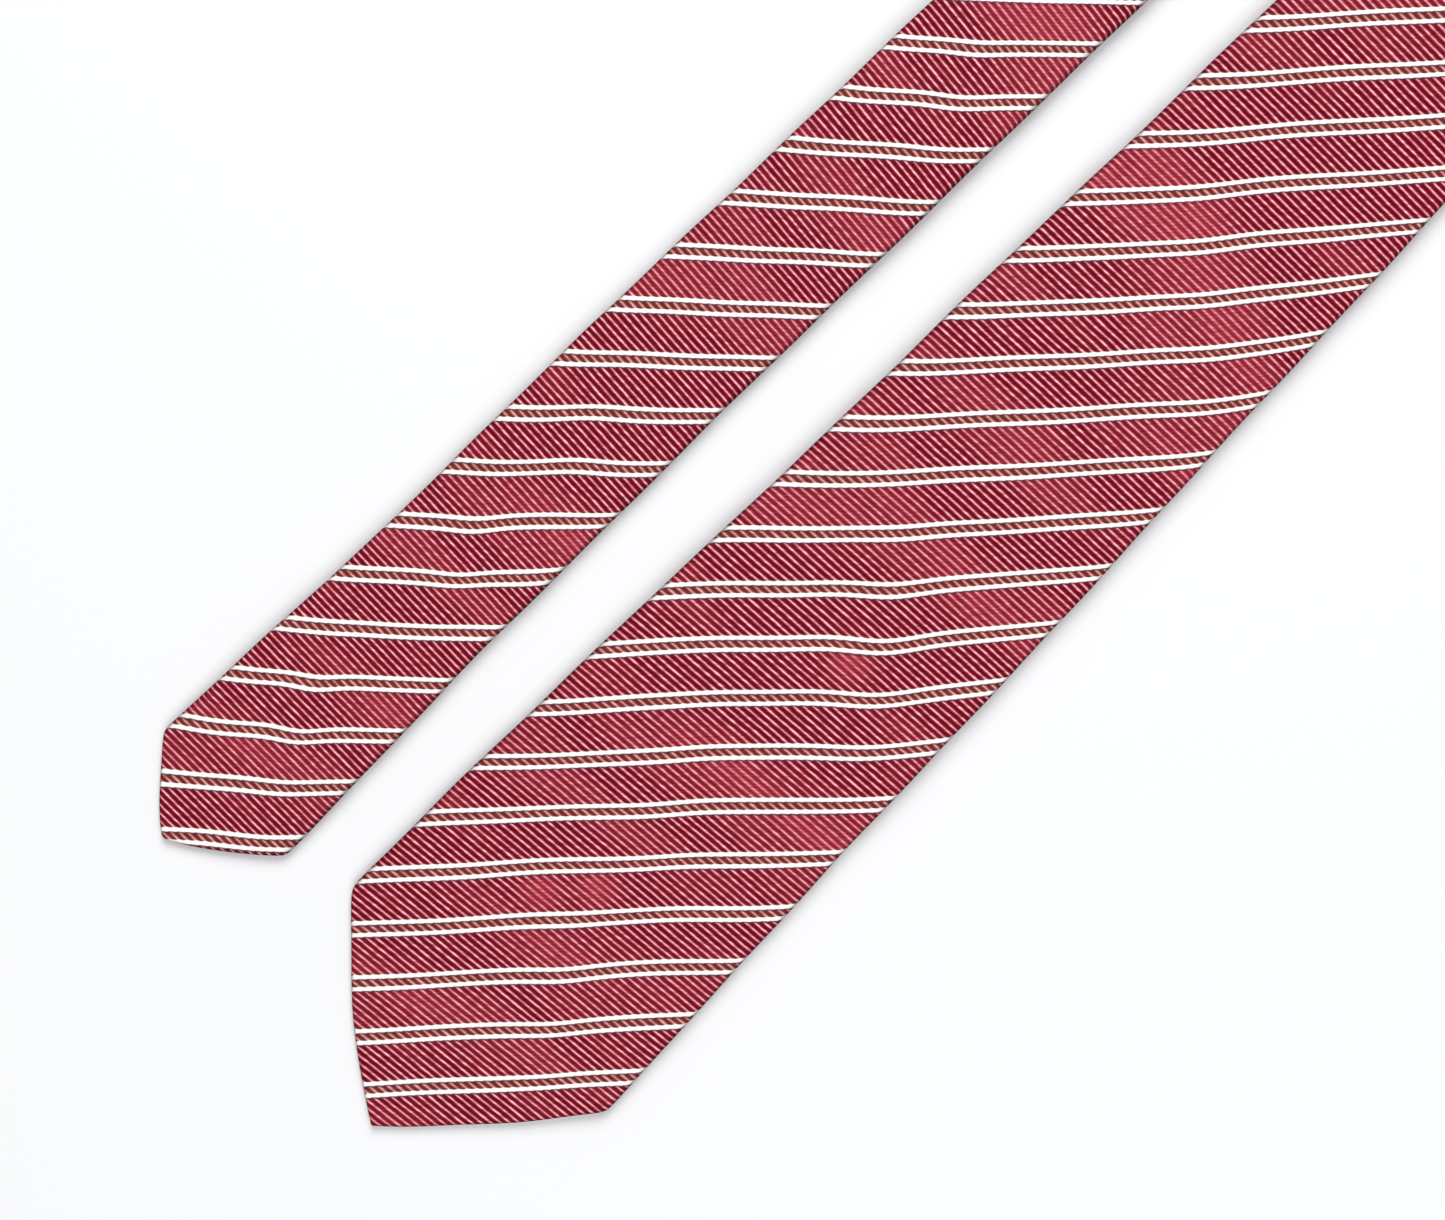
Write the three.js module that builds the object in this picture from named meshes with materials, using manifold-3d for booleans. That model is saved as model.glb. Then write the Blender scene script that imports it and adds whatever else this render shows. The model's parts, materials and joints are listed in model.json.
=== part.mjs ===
// A striped silk necktie, laid doubled with both front faces up.
// Millimetres, +Z up. The tie lies on z = 0, both tips point to -Y and the neck to +Y.
// Every piece is described on the flat tie and then placed where the doubled tie lies:
//   s  distance along the centre line, 0 at the blade tip, tieLength at the tail tip
//   u  distance across, positive to the blade's right
//   h  height above the tie's back face
import * as THREE from 'three';
import Module from 'manifold-3d';

const wasm = await Module();
wasm.setup();

// Lengths and widths of the whole tie
const tieLength = 1480;
const bladeWidth = 90;
const tailWidth = 46.5;
const neckWidth = 36.5;
const chestWidth = 69.7; // blade, where it is tucked behind the jacket's button
const chestAt = 370;
const bladeWaistWidth = 52;
const bladeWaistAt = 600;
const bladeNeckPast = 32; // the blade's taper ends this far past the neck's first fold
const tailBandWidth = 41.6;
const tailBandAt = 95; // from the tail tip, as is the next
const tailSlimWidth = 39.5;
const tailSlimAt = 300;
const tailNeckShort = 58; // the tail's taper starts this far past the second fold

// Pointed ends: how far the tip lies off the centre, and each corner's distance up from the tip
const bladeEnd = { width: bladeWidth, tipShift: 2.8, cornerLow: 41.7, cornerHigh: 47.3 };
const tailEnd = { width: tailWidth, tipShift: 2.9, cornerLow: 20.1, cornerHigh: 20.8 };
const bluntTip = 1.6; // width left at a tip

// How the doubled tie lies
const bladeTipX = 32.75;
const tailTipX = -54.3;
const tipStagger = 14.7; // the blade tip lies this much lower than the tail tip
const bladeLean = -0.01; // sideways run of each leg for each millimetre towards the neck
const tailLean = 0.0149;
const levelGap = 1.2; // between a leg and the neck band folded over it

// Layers, from the back of the tie to its front
const shellThickness = 0.5;
const clearance = 0.3;
const tippingThickness = 0.4;
const interliningThickness = 1.1;
const threadThickness = 0.3;

// What is sewn to the blade's back
const threadOnLabel = 0.2;
const threadSeat = 0.05;
const keeperThickness = 0.5;
const keeperWidth = 12;
const keeperSpan = 48; // between its sewn ends
const keeperEnd = 7;
const keeperAt = 205;
const labelThickness = 0.3;
const labelWidth = 60;
const labelLength = 34;
const labelAt = 246;
const careWidth = 24;
const careLength = 26;
const careAt = 284;
const careAcross = 18;

// Openings, stitches and seams
const hemWidth = 3.5; // shell turned to the back along the tip's edges
const flapStart = 9; // width of a back flap at its corner
const slitWidth = 0.6;
const bladeTackAt = 176;
const tailTackAt = 82;
const tackLength = 8;
const tackWidth = 1.6;
const tackThickness = 0.4;
const tippingEndGap = 4; // between the tipping and the tack
const seamChannel = 1;
const slipStitchPitch = 12;
const slipStitchSwing = 1.4;
const zigzagPitch = 4;
const zigzagSwing = 3;
const bladeJoinShort = 40; // the diagonal join of blade and neck panel, before the first fold
const tailJoinAt = 470; // the join of neck and tail panel, from the tail tip
const joinMargin = 4;
const joinRun = 60; // length over which a leg's sections turn to the join's slant

// Fold lines of the two ends, measured from each tip
const bladeFoldAt = 325;
const tailFoldAt = bladeFoldAt - tipStagger;
const foldGap = 0.3;

const arcSteps = 6;
const rollSteps = 8;

// ---- levels ----
const zoneBack = tippingThickness + 2 * clearance;
const zoneFront = threadThickness + 2 * clearance;
const tieThickness = 2 * shellThickness + zoneBack + interliningThickness + zoneFront;
const interliningLow = shellThickness + zoneBack;
const interliningHigh = interliningLow + interliningThickness;
const backZ = threadOnLabel + threadSeat + keeperThickness + clearance;
const middle = tieThickness / 2;

// ---- folds of the neck ----
const rollRadius = (tieThickness + levelGap) / 2;
// Height of the neck band above the blade tip that gives the tie its length
const neckLift = (tieLength + tipStagger - bladeTipX + tailTipX - tailLean * tipStagger)
  / (2 + bladeLean - tailLean);
const bladeNeckX = bladeTipX + bladeLean * neckLift;
const tailNeckX = tailTipX + tailLean * (neckLift - tipStagger);
const firstFoldAt = neckLift;
const secondFoldAt = firstFoldAt + bladeNeckX - tailNeckX;
const neckMiddle = (firstFoldAt + secondFoldAt) / 2;

// ---- outline of the flat tie ----
const widthStations = [
  [0, bladeWidth],
  [bladeEnd.cornerHigh, bladeWidth],
  [chestAt, chestWidth],
  [bladeWaistAt, bladeWaistWidth],
  [firstFoldAt + bladeNeckPast, neckWidth],
  [secondFoldAt + tailNeckShort, neckWidth],
  [tieLength - tailSlimAt, tailSlimWidth],
  [tieLength - tailBandAt, tailBandWidth],
  [tieLength - tailEnd.cornerHigh, tailWidth],
  [tieLength, tailWidth],
];

function widthAt(s) {
  const next = widthStations.findIndex(([at]) => at >= s);
  if (next < 1) {
    return s <= 0 ? bladeWidth : tailWidth;
  }
  const [s0, w0] = widthStations[next - 1];
  const [s1, w1] = widthStations[next];
  return THREE.MathUtils.mapLinear(s, s0, s1, w0, w1);
}

// Slopes of the two slanted edges of an end, away from the tip
function slopes(end) {
  const low = (end.width / 2 + end.tipShift) / end.cornerLow;
  const high = (end.width / 2 - end.tipShift) / end.cornerHigh;
  return { low, high, lowScale: Math.hypot(1, low), highScale: Math.hypot(1, high) };
}

// Low and high edge of the tie at s, moved inwards by inset
function edges(s, inset) {
  let low = -widthAt(s) / 2 + inset;
  let high = widthAt(s) / 2 - inset;
  for (const [end, run] of [[bladeEnd, s], [tailEnd, tieLength - s]]) {
    const slope = slopes(end);
    low = Math.max(low, end.tipShift - slope.low * run + inset * slope.lowScale);
    high = Math.min(high, end.tipShift + slope.high * run - inset * slope.highScale);
  }
  return [low, high];
}

// Distance from the tip at which an outline moved inwards has the width of a blunt tip
function tipStart(end, inset) {
  const slope = slopes(end);
  return (bluntTip + inset * (slope.lowScale + slope.highScale)) / (slope.low + slope.high);
}

// Distances from the tip of the two corners of an outline moved inwards
function corners(end, inset) {
  const slope = slopes(end);
  const low = (end.tipShift + end.width / 2 + inset * (slope.lowScale - 1)) / slope.low;
  const high = (end.width / 2 - end.tipShift + inset * (slope.highScale - 1)) / slope.high;
  return low < high ? [low, high] : [high, low];
}

// ---- where the doubled tie lies ----
function foldLine(x, directionIn, directionOut) {
  const along = directionIn.clone().normalize().add(directionOut.clone().normalize()).normalize();
  const beyond = directionIn.clone().sub(directionOut).normalize();
  return { at: new THREE.Vector2(x, neckLift), along, beyond };
}

const bladeUp = new THREE.Vector2(bladeLean, 1);
const bandAlong = new THREE.Vector2(-1, 0);
const tailDown = new THREE.Vector2(-tailLean, -1);
const firstFold = foldLine(bladeNeckX, bladeUp, bandAlong);
const secondFold = foldLine(tailNeckX, bandAlong, tailDown);
// Slant of each fold across the tie: run of s for each millimetre of u
const firstSlant = firstFold.along.y / (firstFold.along.x - bladeLean * firstFold.along.y);
const secondSlant = secondFold.along.x / secondFold.along.y;
const rollReach = rollRadius * Math.PI / 2 * Math.SQRT2;

// Rolls what lies beyond a fold line over (turn 1) or under (turn -1) the flat at height level
function roll(point, fold, level, turn) {
  const flat = new THREE.Vector2(point.x, point.y).sub(fold.at);
  const out = flat.dot(fold.beyond);
  const half = rollRadius * Math.PI / 2;
  if (out <= -half) {
    return point;
  }
  const rise = turn * (point.z - level);
  const angle = Math.min((out + half) / rollRadius, Math.PI);
  const reach = out >= half ? -out : (rollRadius - rise) * Math.sin(angle) - half;
  const lift = rollRadius - (rollRadius - rise) * Math.cos(angle);
  const place = flat.addScaledVector(fold.beyond, reach - out).add(fold.at);
  return new THREE.Vector3(place.x, place.y, level + turn * lift);
}

function place(s, u, h) {
  const point = new THREE.Vector3(bladeTipX + bladeLean * s + u, s, backZ + h);
  const over = roll(point, firstFold, backZ + middle, 1);
  if (s - secondSlant * u < neckMiddle) {
    return over;
  }
  return roll(over, secondFold, backZ + middle + 2 * rollRadius, -1);
}

// ---- sweeps along the tie ----
function section(low, high, bottom, top, steps) {
  if (steps === 0) {
    return [[low, bottom], [high, bottom], [high, top], [low, top]];
  }
  const half = (top - bottom) / 2;
  const reach = Math.min(half, 0.45 * (high - low));
  const loop = [];
  for (const [centre, start] of [[high - reach, -Math.PI / 2], [low + reach, Math.PI / 2]]) {
    for (let i = 0; i <= steps; i += 1) {
      const angle = start + Math.PI * i / steps;
      loop.push([centre + reach * Math.cos(angle), bottom + half + half * Math.sin(angle)]);
    }
  }
  return loop;
}

// A closed body through sections at the given stations, each { s, slant }
function sweep(stations, edgesAt, bottom, top, steps = 0) {
  const positions = [];
  const indices = [];
  for (const { s, slant = 0 } of stations) {
    const [nearLow, nearHigh] = edgesAt(s);
    const low = edgesAt(s + slant * nearLow)[0];
    const high = edgesAt(s + slant * nearHigh)[1];
    for (const [u, h] of section(low, high, bottom, top, steps)) {
      positions.push(...place(s + slant * u, u, h).toArray());
    }
  }
  const count = positions.length / 3 / stations.length;
  const last = (stations.length - 1) * count;
  for (let i = 1; i < count - 1; i += 1) {
    indices.push(0, i, i + 1);
    indices.push(last, last + i + 1, last + i);
  }
  for (let row = 0; row < last; row += count) {
    for (let i = 0; i < count; i += 1) {
      const j = (i + 1) % count;
      indices.push(row + i, row + count + j, row + j);
      indices.push(row + i, row + count + i, row + count + j);
    }
  }
  const geometry = new THREE.BufferGeometry();
  geometry.setAttribute('position', new THREE.Float32BufferAttribute(positions, 3));
  geometry.setIndex(indices);
  return geometry;
}

function toSolid(geometry) {
  const vertProperties = new Float32Array(geometry.attributes.position.array);
  const triVerts = new Uint32Array(geometry.index.array);
  return new wasm.Manifold(new wasm.Mesh({ numProp: 3, vertProperties, triVerts }));
}

function toGeometry(solid) {
  const { vertProperties, triVerts, numProp } = solid.getMesh();
  const positions = [];
  for (let i = 0; i < vertProperties.length; i += numProp) {
    positions.push(vertProperties[i], vertProperties[i + 1], vertProperties[i + 2]);
  }
  const geometry = new THREE.BufferGeometry();
  geometry.setAttribute('position', new THREE.Float32BufferAttribute(positions, 3));
  geometry.setIndex(Array.from(triVerts));
  return geometry;
}

// Stations from one s to another, with every outline corner between them
function legStations(from, to, inset = 0) {
  const marks = widthStations.map(([at]) => at);
  marks.push(...corners(bladeEnd, inset));
  marks.push(...corners(tailEnd, inset).map((run) => tieLength - run));
  const inside = marks.filter((s) => s > from + 1 && s < to - 1);
  inside.sort((a, b) => a - b);
  return [from, ...inside, to].map((s) => ({ s, slant: 0 }));
}

// Stations of the neck, whose sections lie along the diagonal folds
function neckStations(from, to) {
  const stations = [{ s: from, slant: firstSlant }];
  for (const [fold, slant] of [[firstFoldAt, firstSlant], [secondFoldAt, secondSlant]]) {
    for (let i = 0; i <= rollSteps; i += 1) {
      stations.push({ s: fold + rollReach * (2 * i / rollSteps - 1), slant });
    }
  }
  stations.splice(rollSteps + 2, 0, { s: neckMiddle, slant: 0 });
  stations.push({ s: secondFoldAt + tailNeckShort, slant: secondSlant });
  stations.push({ s: to, slant: secondSlant });
  return stations;
}

const bladeJoin = firstFoldAt - bladeJoinShort;
const tailJoin = tieLength - tailJoinAt;
const bladeFold = bladeFoldAt;
const tailFold = tieLength - tailFoldAt;
const bladeTack = bladeTackAt;
const tailTack = tieLength - tailTackAt;

// Stations of a leg that ends in a diagonal join
function bladeUpperStations(from, to) {
  return [...legStations(from, to - joinRun), { s: to, slant: firstSlant }];
}

function tailUpperStations(from, to) {
  return [{ s: from, slant: secondSlant }, ...legStations(from + joinRun, to)];
}

// The shell of a stretch: a flat tube, slit along the middle of its back
function shellOf(outerStations, boreStations, slitStations) {
  const outer = toSolid(sweep(outerStations, (s) => edges(s, 0), 0, tieThickness, arcSteps));
  const top = tieThickness - shellThickness;
  const boreEdges = (s) => edges(s, shellThickness);
  const bore = toSolid(sweep(boreStations, boreEdges, shellThickness, top, arcSteps));
  const slitEdges = () => [-slitWidth / 2, slitWidth / 2];
  const slit = toSolid(sweep(slitStations, slitEdges, -shellThickness, 1.5 * shellThickness));
  return outer.subtract(bore).subtract(slit);
}

// The opening at the back of an end, from the hem along the tip to where the flaps meet
function backOpening(end, tackRun, isTail) {
  const toS = (run) => (isTail ? tieLength - run : run);
  const runs = [tipStart(end, hemWidth), ...corners(end, hemWidth), tackRun];
  const half = end.width / 2 - flapStart;
  const cornerRun = Math.max(end.cornerLow, end.cornerHigh);
  const stations = runs.map((run) => ({ s: toS(run) }));
  if (isTail) {
    stations.reverse();
  }
  const openEdges = (s) => {
    const run = isTail ? tieLength - s : s;
    const closing = THREE.MathUtils.clamp((tackRun - run) / (tackRun - cornerRun), 0, 1);
    const reach = THREE.MathUtils.lerp(slitWidth / 2, half, closing);
    const [low, high] = edges(s, hemWidth);
    return [Math.max(low, -reach), Math.min(high, reach)];
  };
  return toSolid(sweep(stations, openEdges, -shellThickness, 1.5 * shellThickness));
}

function bladeEndShell() {
  const to = bladeFold - foldGap / 2;
  const outer = legStations(0.5 * tipStart(bladeEnd, 0), to);
  const bore = legStations(tipStart(bladeEnd, shellThickness), to + 1, shellThickness);
  const slit = [{ s: bladeTack - 1 }, { s: to + 1 }];
  return shellOf(outer, bore, slit).subtract(backOpening(bladeEnd, bladeTackAt, false));
}

function tailEndShell() {
  const from = tailFold + foldGap / 2;
  const outer = legStations(from, tieLength - 0.5 * tipStart(tailEnd, 0));
  const boreEnd = tieLength - tipStart(tailEnd, shellThickness);
  const bore = legStations(from - 1, boreEnd, shellThickness);
  const slit = [{ s: from - 1 }, { s: tailTack + 1 }];
  return shellOf(outer, bore, slit).subtract(backOpening(tailEnd, tailTackAt, true));
}

function bladeUpperShell() {
  const from = bladeFold + foldGap / 2;
  const to = bladeJoin - clearance / 2;
  const past = bladeUpperStations(from - 1, to);
  past.push({ s: to + 1, slant: firstSlant });
  return shellOf(bladeUpperStations(from, to), past, past);
}

function tailUpperShell() {
  const from = tailJoin + clearance / 2;
  const to = tailFold - foldGap / 2;
  const past = tailUpperStations(from, to + 1);
  past.unshift({ s: from - 1, slant: secondSlant });
  return shellOf(tailUpperStations(from, to), past, past);
}

function neckShell() {
  const from = bladeJoin + clearance / 2;
  const to = tailJoin - clearance / 2;
  const past = neckStations(from - 1, to + 1);
  return shellOf(neckStations(from, to), past, past);
}

// ---- interlining ----
const interliningInset = shellThickness + clearance;

function interlining(stations) {
  const within = (s) => edges(s, interliningInset);
  return sweep(stations, within, interliningLow, interliningHigh, 2);
}

function interliningPieces() {
  const bladeStart = tipStart(bladeEnd, interliningInset);
  const tailStart = tieLength - tipStart(tailEnd, interliningInset);
  const neck = neckStations(bladeJoin, tailJoin);
  const toMiddle = neck.filter(({ s }) => s < neckMiddle - 1);
  const fromMiddle = neck.filter(({ s }) => s > neckMiddle + 1);
  const half = clearance / 2;
  return {
    interlining_blade_end: legStations(bladeStart, bladeFold - foldGap / 2, interliningInset),
    interlining_blade_upper: [
      ...legStations(bladeFold + foldGap / 2, bladeJoin - joinRun), ...toMiddle,
      { s: neckMiddle - half },
    ],
    interlining_tail_upper: [
      { s: neckMiddle + half }, ...fromMiddle,
      ...legStations(tailJoin + joinRun, tailFold - foldGap / 2),
    ],
    interlining_tail_end: legStations(tailFold + foldGap / 2, tailStart, interliningInset),
  };
}

// ---- tipping and its seam ----
const tippingLow = shellThickness + clearance;
const tippingHigh = tippingLow + tippingThickness;
const boreRound = tieThickness / 2 - shellThickness;
const boreOffset = middle - tippingLow;
const boreNarrowing = boreRound - Math.sqrt(boreRound ** 2 - boreOffset ** 2);
const seamInset = shellThickness + boreNarrowing + clearance;
const tippingInset = seamInset + seamChannel;

function endStations(end, isTail, inset, tackRun) {
  const to = tackRun - tippingEndGap;
  const runs = [tipStart(end, inset), ...corners(end, inset), to];
  const stations = runs.map((run) => ({ s: isTail ? tieLength - run : run }));
  return isTail ? stations.reverse() : stations;
}

function tipping(end, isTail, tackRun) {
  const stations = endStations(end, isTail, tippingInset, tackRun);
  return sweep(stations, (s) => edges(s, tippingInset), tippingLow, tippingHigh);
}

// Thread along both slanted edges of an end, in the channel beside the tipping
function tippingSeam(end, isTail) {
  const inner = seamInset + seamChannel - clearance;
  const reach = corners(end, seamInset)[0] - 1;
  const stations = (inset) => {
    const runs = [tipStart(end, inset), reach];
    const list = runs.map((run) => ({ s: isTail ? tieLength - run : run }));
    return isTail ? list.reverse() : list;
  };
  const outline = sweep(stations(seamInset), (s) => edges(s, seamInset), tippingLow, tippingHigh);
  const past = stations(inner).map(({ s }) => {
    const isFar = Math.abs(s - (isTail ? tieLength - reach : reach)) < 1e-6;
    return { s: isFar ? s + (isTail ? -1 : 1) : s };
  });
  const hole = sweep(past, (s) => edges(s, inner), tippingLow - 1, tippingHigh + 1);
  return toGeometry(toSolid(outline).subtract(toSolid(hole)));
}

// ---- threads ----
const threadWidth = 0.5;

function waveStations(from, to, pitch) {
  const count = Math.max(2, 2 * Math.round((to - from) / pitch));
  return Array.from({ length: count + 1 }, (_, i) => ({ s: from + (to - from) * i / count }));
}

// One continuous thread that swings to and fro as it runs along the tie
function runningThread(stations, swing, low, high) {
  const swings = new Map(stations.map(({ s }, i) => [s, i % 2 ? swing : -swing]));
  const around = (s) => [swings.get(s) - threadWidth / 2, swings.get(s) + threadWidth / 2];
  return sweep(stations, around, low, high);
}

function slipStitch(from, to) {
  const high = tippingLow + threadThickness;
  return runningThread(waveStations(from, to, slipStitchPitch), slipStitchSwing, tippingLow, high);
}

// The neck's slip stitch runs straight, at stations close enough to follow the folds
function neckSlipStitch() {
  const neck = neckStations(bladeJoin, tailJoin).map(({ s }) => s);
  const inside = neck.filter((s) => s > bladeJoin + 1 && s < tailJoin - 1);
  const before = waveStations(bladeFold + 2, bladeJoin, slipStitchPitch).map(({ s }) => s);
  const after = waveStations(tailJoin, tailFold - 2, slipStitchPitch).map(({ s }) => s);
  const stations = [...before, ...inside, ...after].map((s) => ({ s }));
  const swings = new Map(stations.map(({ s }, i) => [s, i % 2 ? 1 : -1]));
  const isStraight = (s) => s > bladeJoin - 1 && s < tailJoin + 1;
  const around = (s) => {
    const centre = isStraight(s) ? 0 : slipStitchSwing * swings.get(s);
    return [centre - threadWidth / 2, centre + threadWidth / 2];
  };
  return sweep(stations, around, tippingLow, tippingLow + threadThickness);
}

// Thread of a diagonal join, across the tie under its front
function joinSeam(at, slant) {
  const low = interliningHigh + clearance;
  const stations = [{ s: at - threadWidth / 2, slant }, { s: at + threadWidth / 2, slant }];
  return sweep(stations, (s) => edges(s, joinMargin), low, low + threadThickness);
}

// Zigzag thread across the neck that joins the two lengths of interlining
function interliningZigzag() {
  const low = interliningHigh + clearance;
  const [from, to] = edges(neckMiddle, joinMargin);
  const count = 2 * Math.round((to - from) / zigzagPitch);
  const positions = [];
  for (let i = 0; i <= count; i += 1) {
    const u = from + (to - from) * i / count;
    const s = neckMiddle + (i % 2 ? zigzagSwing : -zigzagSwing) / 2;
    positions.push([s, u]);
  }
  const half = threadWidth / 2;
  const rings = positions.map(([s, u]) => [[s - half, low], [s - half, low + threadThickness],
    [s + half, low + threadThickness], [s + half, low]].map(([ring, h]) => place(ring, u, h)));
  const flat = rings.flat().flatMap((point) => point.toArray());
  const indices = [0, 1, 2, 0, 2, 3];
  const last = (rings.length - 1) * 4;
  indices.push(last, last + 2, last + 1, last, last + 3, last + 2);
  for (let row = 0; row < last; row += 4) {
    for (let i = 0; i < 4; i += 1) {
      const j = (i + 1) % 4;
      indices.push(row + i, row + 4 + j, row + j);
      indices.push(row + i, row + 4 + i, row + 4 + j);
    }
  }
  const geometry = new THREE.BufferGeometry();
  geometry.setAttribute('position', new THREE.Float32BufferAttribute(flat, 3));
  geometry.setIndex(indices);
  return geometry;
}

// ---- flat pieces on the back ----
function plate(at, length, low, high, bottom, thickness) {
  const stations = [{ s: at - length / 2 }, { s: at + length / 2 }];
  return sweep(stations, () => [low, high], bottom, bottom + thickness);
}

const onBack = threadOnLabel + threadSeat - backZ; // outer face of a label or of the keeper
const stitchInset = 1.5;

const silk = { color: 0x8e2435, roughness: 0.42 };
const keeperSilk = { color: 0x86202f, roughness: 0.45 };
const canvas = { color: 0xe6dfce, roughness: 0.95 };
const lining = { color: 0x6f1626, roughness: 0.35 };
const thread = { color: 0x7d1f2e, roughness: 0.6 };
const satin = { color: 0x23242b, roughness: 0.4 };
const careSatin = { color: 0xf0ede6, roughness: 0.5 };

const necktie = new THREE.Group();

function add(name, shape, finish) {
  const geometry = shape.isBufferGeometry ? shape : toGeometry(shape);
  geometry.computeVertexNormals();
  const material = new THREE.MeshStandardMaterial({ ...finish, metalness: 0 });
  const mesh = new THREE.Mesh(geometry, material);
  mesh.name = name;
  necktie.add(mesh);
}

function addShells() {
  add('blade_shell_end', bladeEndShell(), silk);
  add('blade_shell_upper', bladeUpperShell(), silk);
  add('neck_shell', neckShell(), silk);
  add('tail_shell_upper', tailUpperShell(), silk);
  add('tail_shell_end', tailEndShell(), silk);
}

function addLinings() {
  for (const [name, stations] of Object.entries(interliningPieces())) {
    add(name, interlining(stations), canvas);
  }
  add('interlining_zigzag', interliningZigzag(), thread);
  add('blade_tipping', tipping(bladeEnd, false, bladeTackAt), lining);
  add('tail_tipping', tipping(tailEnd, true, tailTackAt), lining);
  add('blade_tipping_seam', tippingSeam(bladeEnd, false), thread);
  add('tail_tipping_seam', tippingSeam(tailEnd, true), thread);
}

function addSeams() {
  add('blade_join_seam', joinSeam(bladeJoin, firstSlant), thread);
  add('tail_join_seam', joinSeam(tailJoin, secondSlant), thread);
  add('slip_stitch_blade_end', slipStitch(bladeTack, bladeFold - 2), thread);
  add('slip_stitch_upper', neckSlipStitch(), thread);
  add('slip_stitch_tail_end', slipStitch(tailFold + 2, tailTack), thread);
  const bottom = -clearance - tackThickness;
  for (const [name, at] of [['blade_bar_tack', bladeTack], ['tail_bar_tack', tailTack]]) {
    add(name, plate(at, tackWidth, -tackLength / 2, tackLength / 2, bottom, tackThickness), thread);
  }
}

function addKeeper() {
  const half = keeperSpan / 2;
  add('keeper_band', plate(keeperAt, keeperWidth, -half, half, onBack, keeperThickness), keeperSilk);
  for (const [side, sign] of [['left', -1], ['right', 1]]) {
    const inner = sign * (half + clearance);
    const outer = sign * (half + clearance + keeperEnd);
    const [low, high] = inner < outer ? [inner, outer] : [outer, inner];
    const end = plate(keeperAt, keeperWidth, low, high, onBack, keeperThickness);
    add(`keeper_end_${side}`, end, keeperSilk);
    const centre = (low + high) / 2;
    const run = keeperWidth - 2 * stitchInset;
    const tack = plate(keeperAt, run, centre - tackWidth / 2, centre + tackWidth / 2,
      -backZ, threadOnLabel);
    add(`keeper_tack_${side}`, tack, thread);
  }
}

function addLabels() {
  const half = labelWidth / 2;
  add('label', plate(labelAt, labelLength, -half, half, onBack, labelThickness), satin);
  for (const [side, sign] of [['left', -1], ['right', 1]]) {
    const centre = sign * (half - stitchInset);
    const run = labelLength - 2 * stitchInset;
    const row = plate(labelAt, run, centre - threadWidth / 2, centre + threadWidth / 2,
      -backZ, threadOnLabel);
    add(`label_stitch_${side}`, row, thread);
  }
  const low = careAcross - careWidth / 2;
  const high = careAcross + careWidth / 2;
  add('care_label', plate(careAt, careLength, low, high, onBack, labelThickness), careSatin);
  const stitchAt = careAt - careLength / 2 + stitchInset;
  const row = plate(stitchAt, threadWidth, low + stitchInset, high - stitchInset,
    -backZ, threadOnLabel);
  add('care_label_stitch', row, thread);
}

addShells();
addLinings();
addSeams();
addKeeper();
addLabels();

// The origin is the middle of the box around the tie, on the surface that it lies on
const around = new THREE.Box3().setFromObject(necktie);
const centre = around.getCenter(new THREE.Vector3());
necktie.position.set(-centre.x, -centre.y, -around.min.z);

export default necktie;
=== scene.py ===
import json
import math

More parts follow.
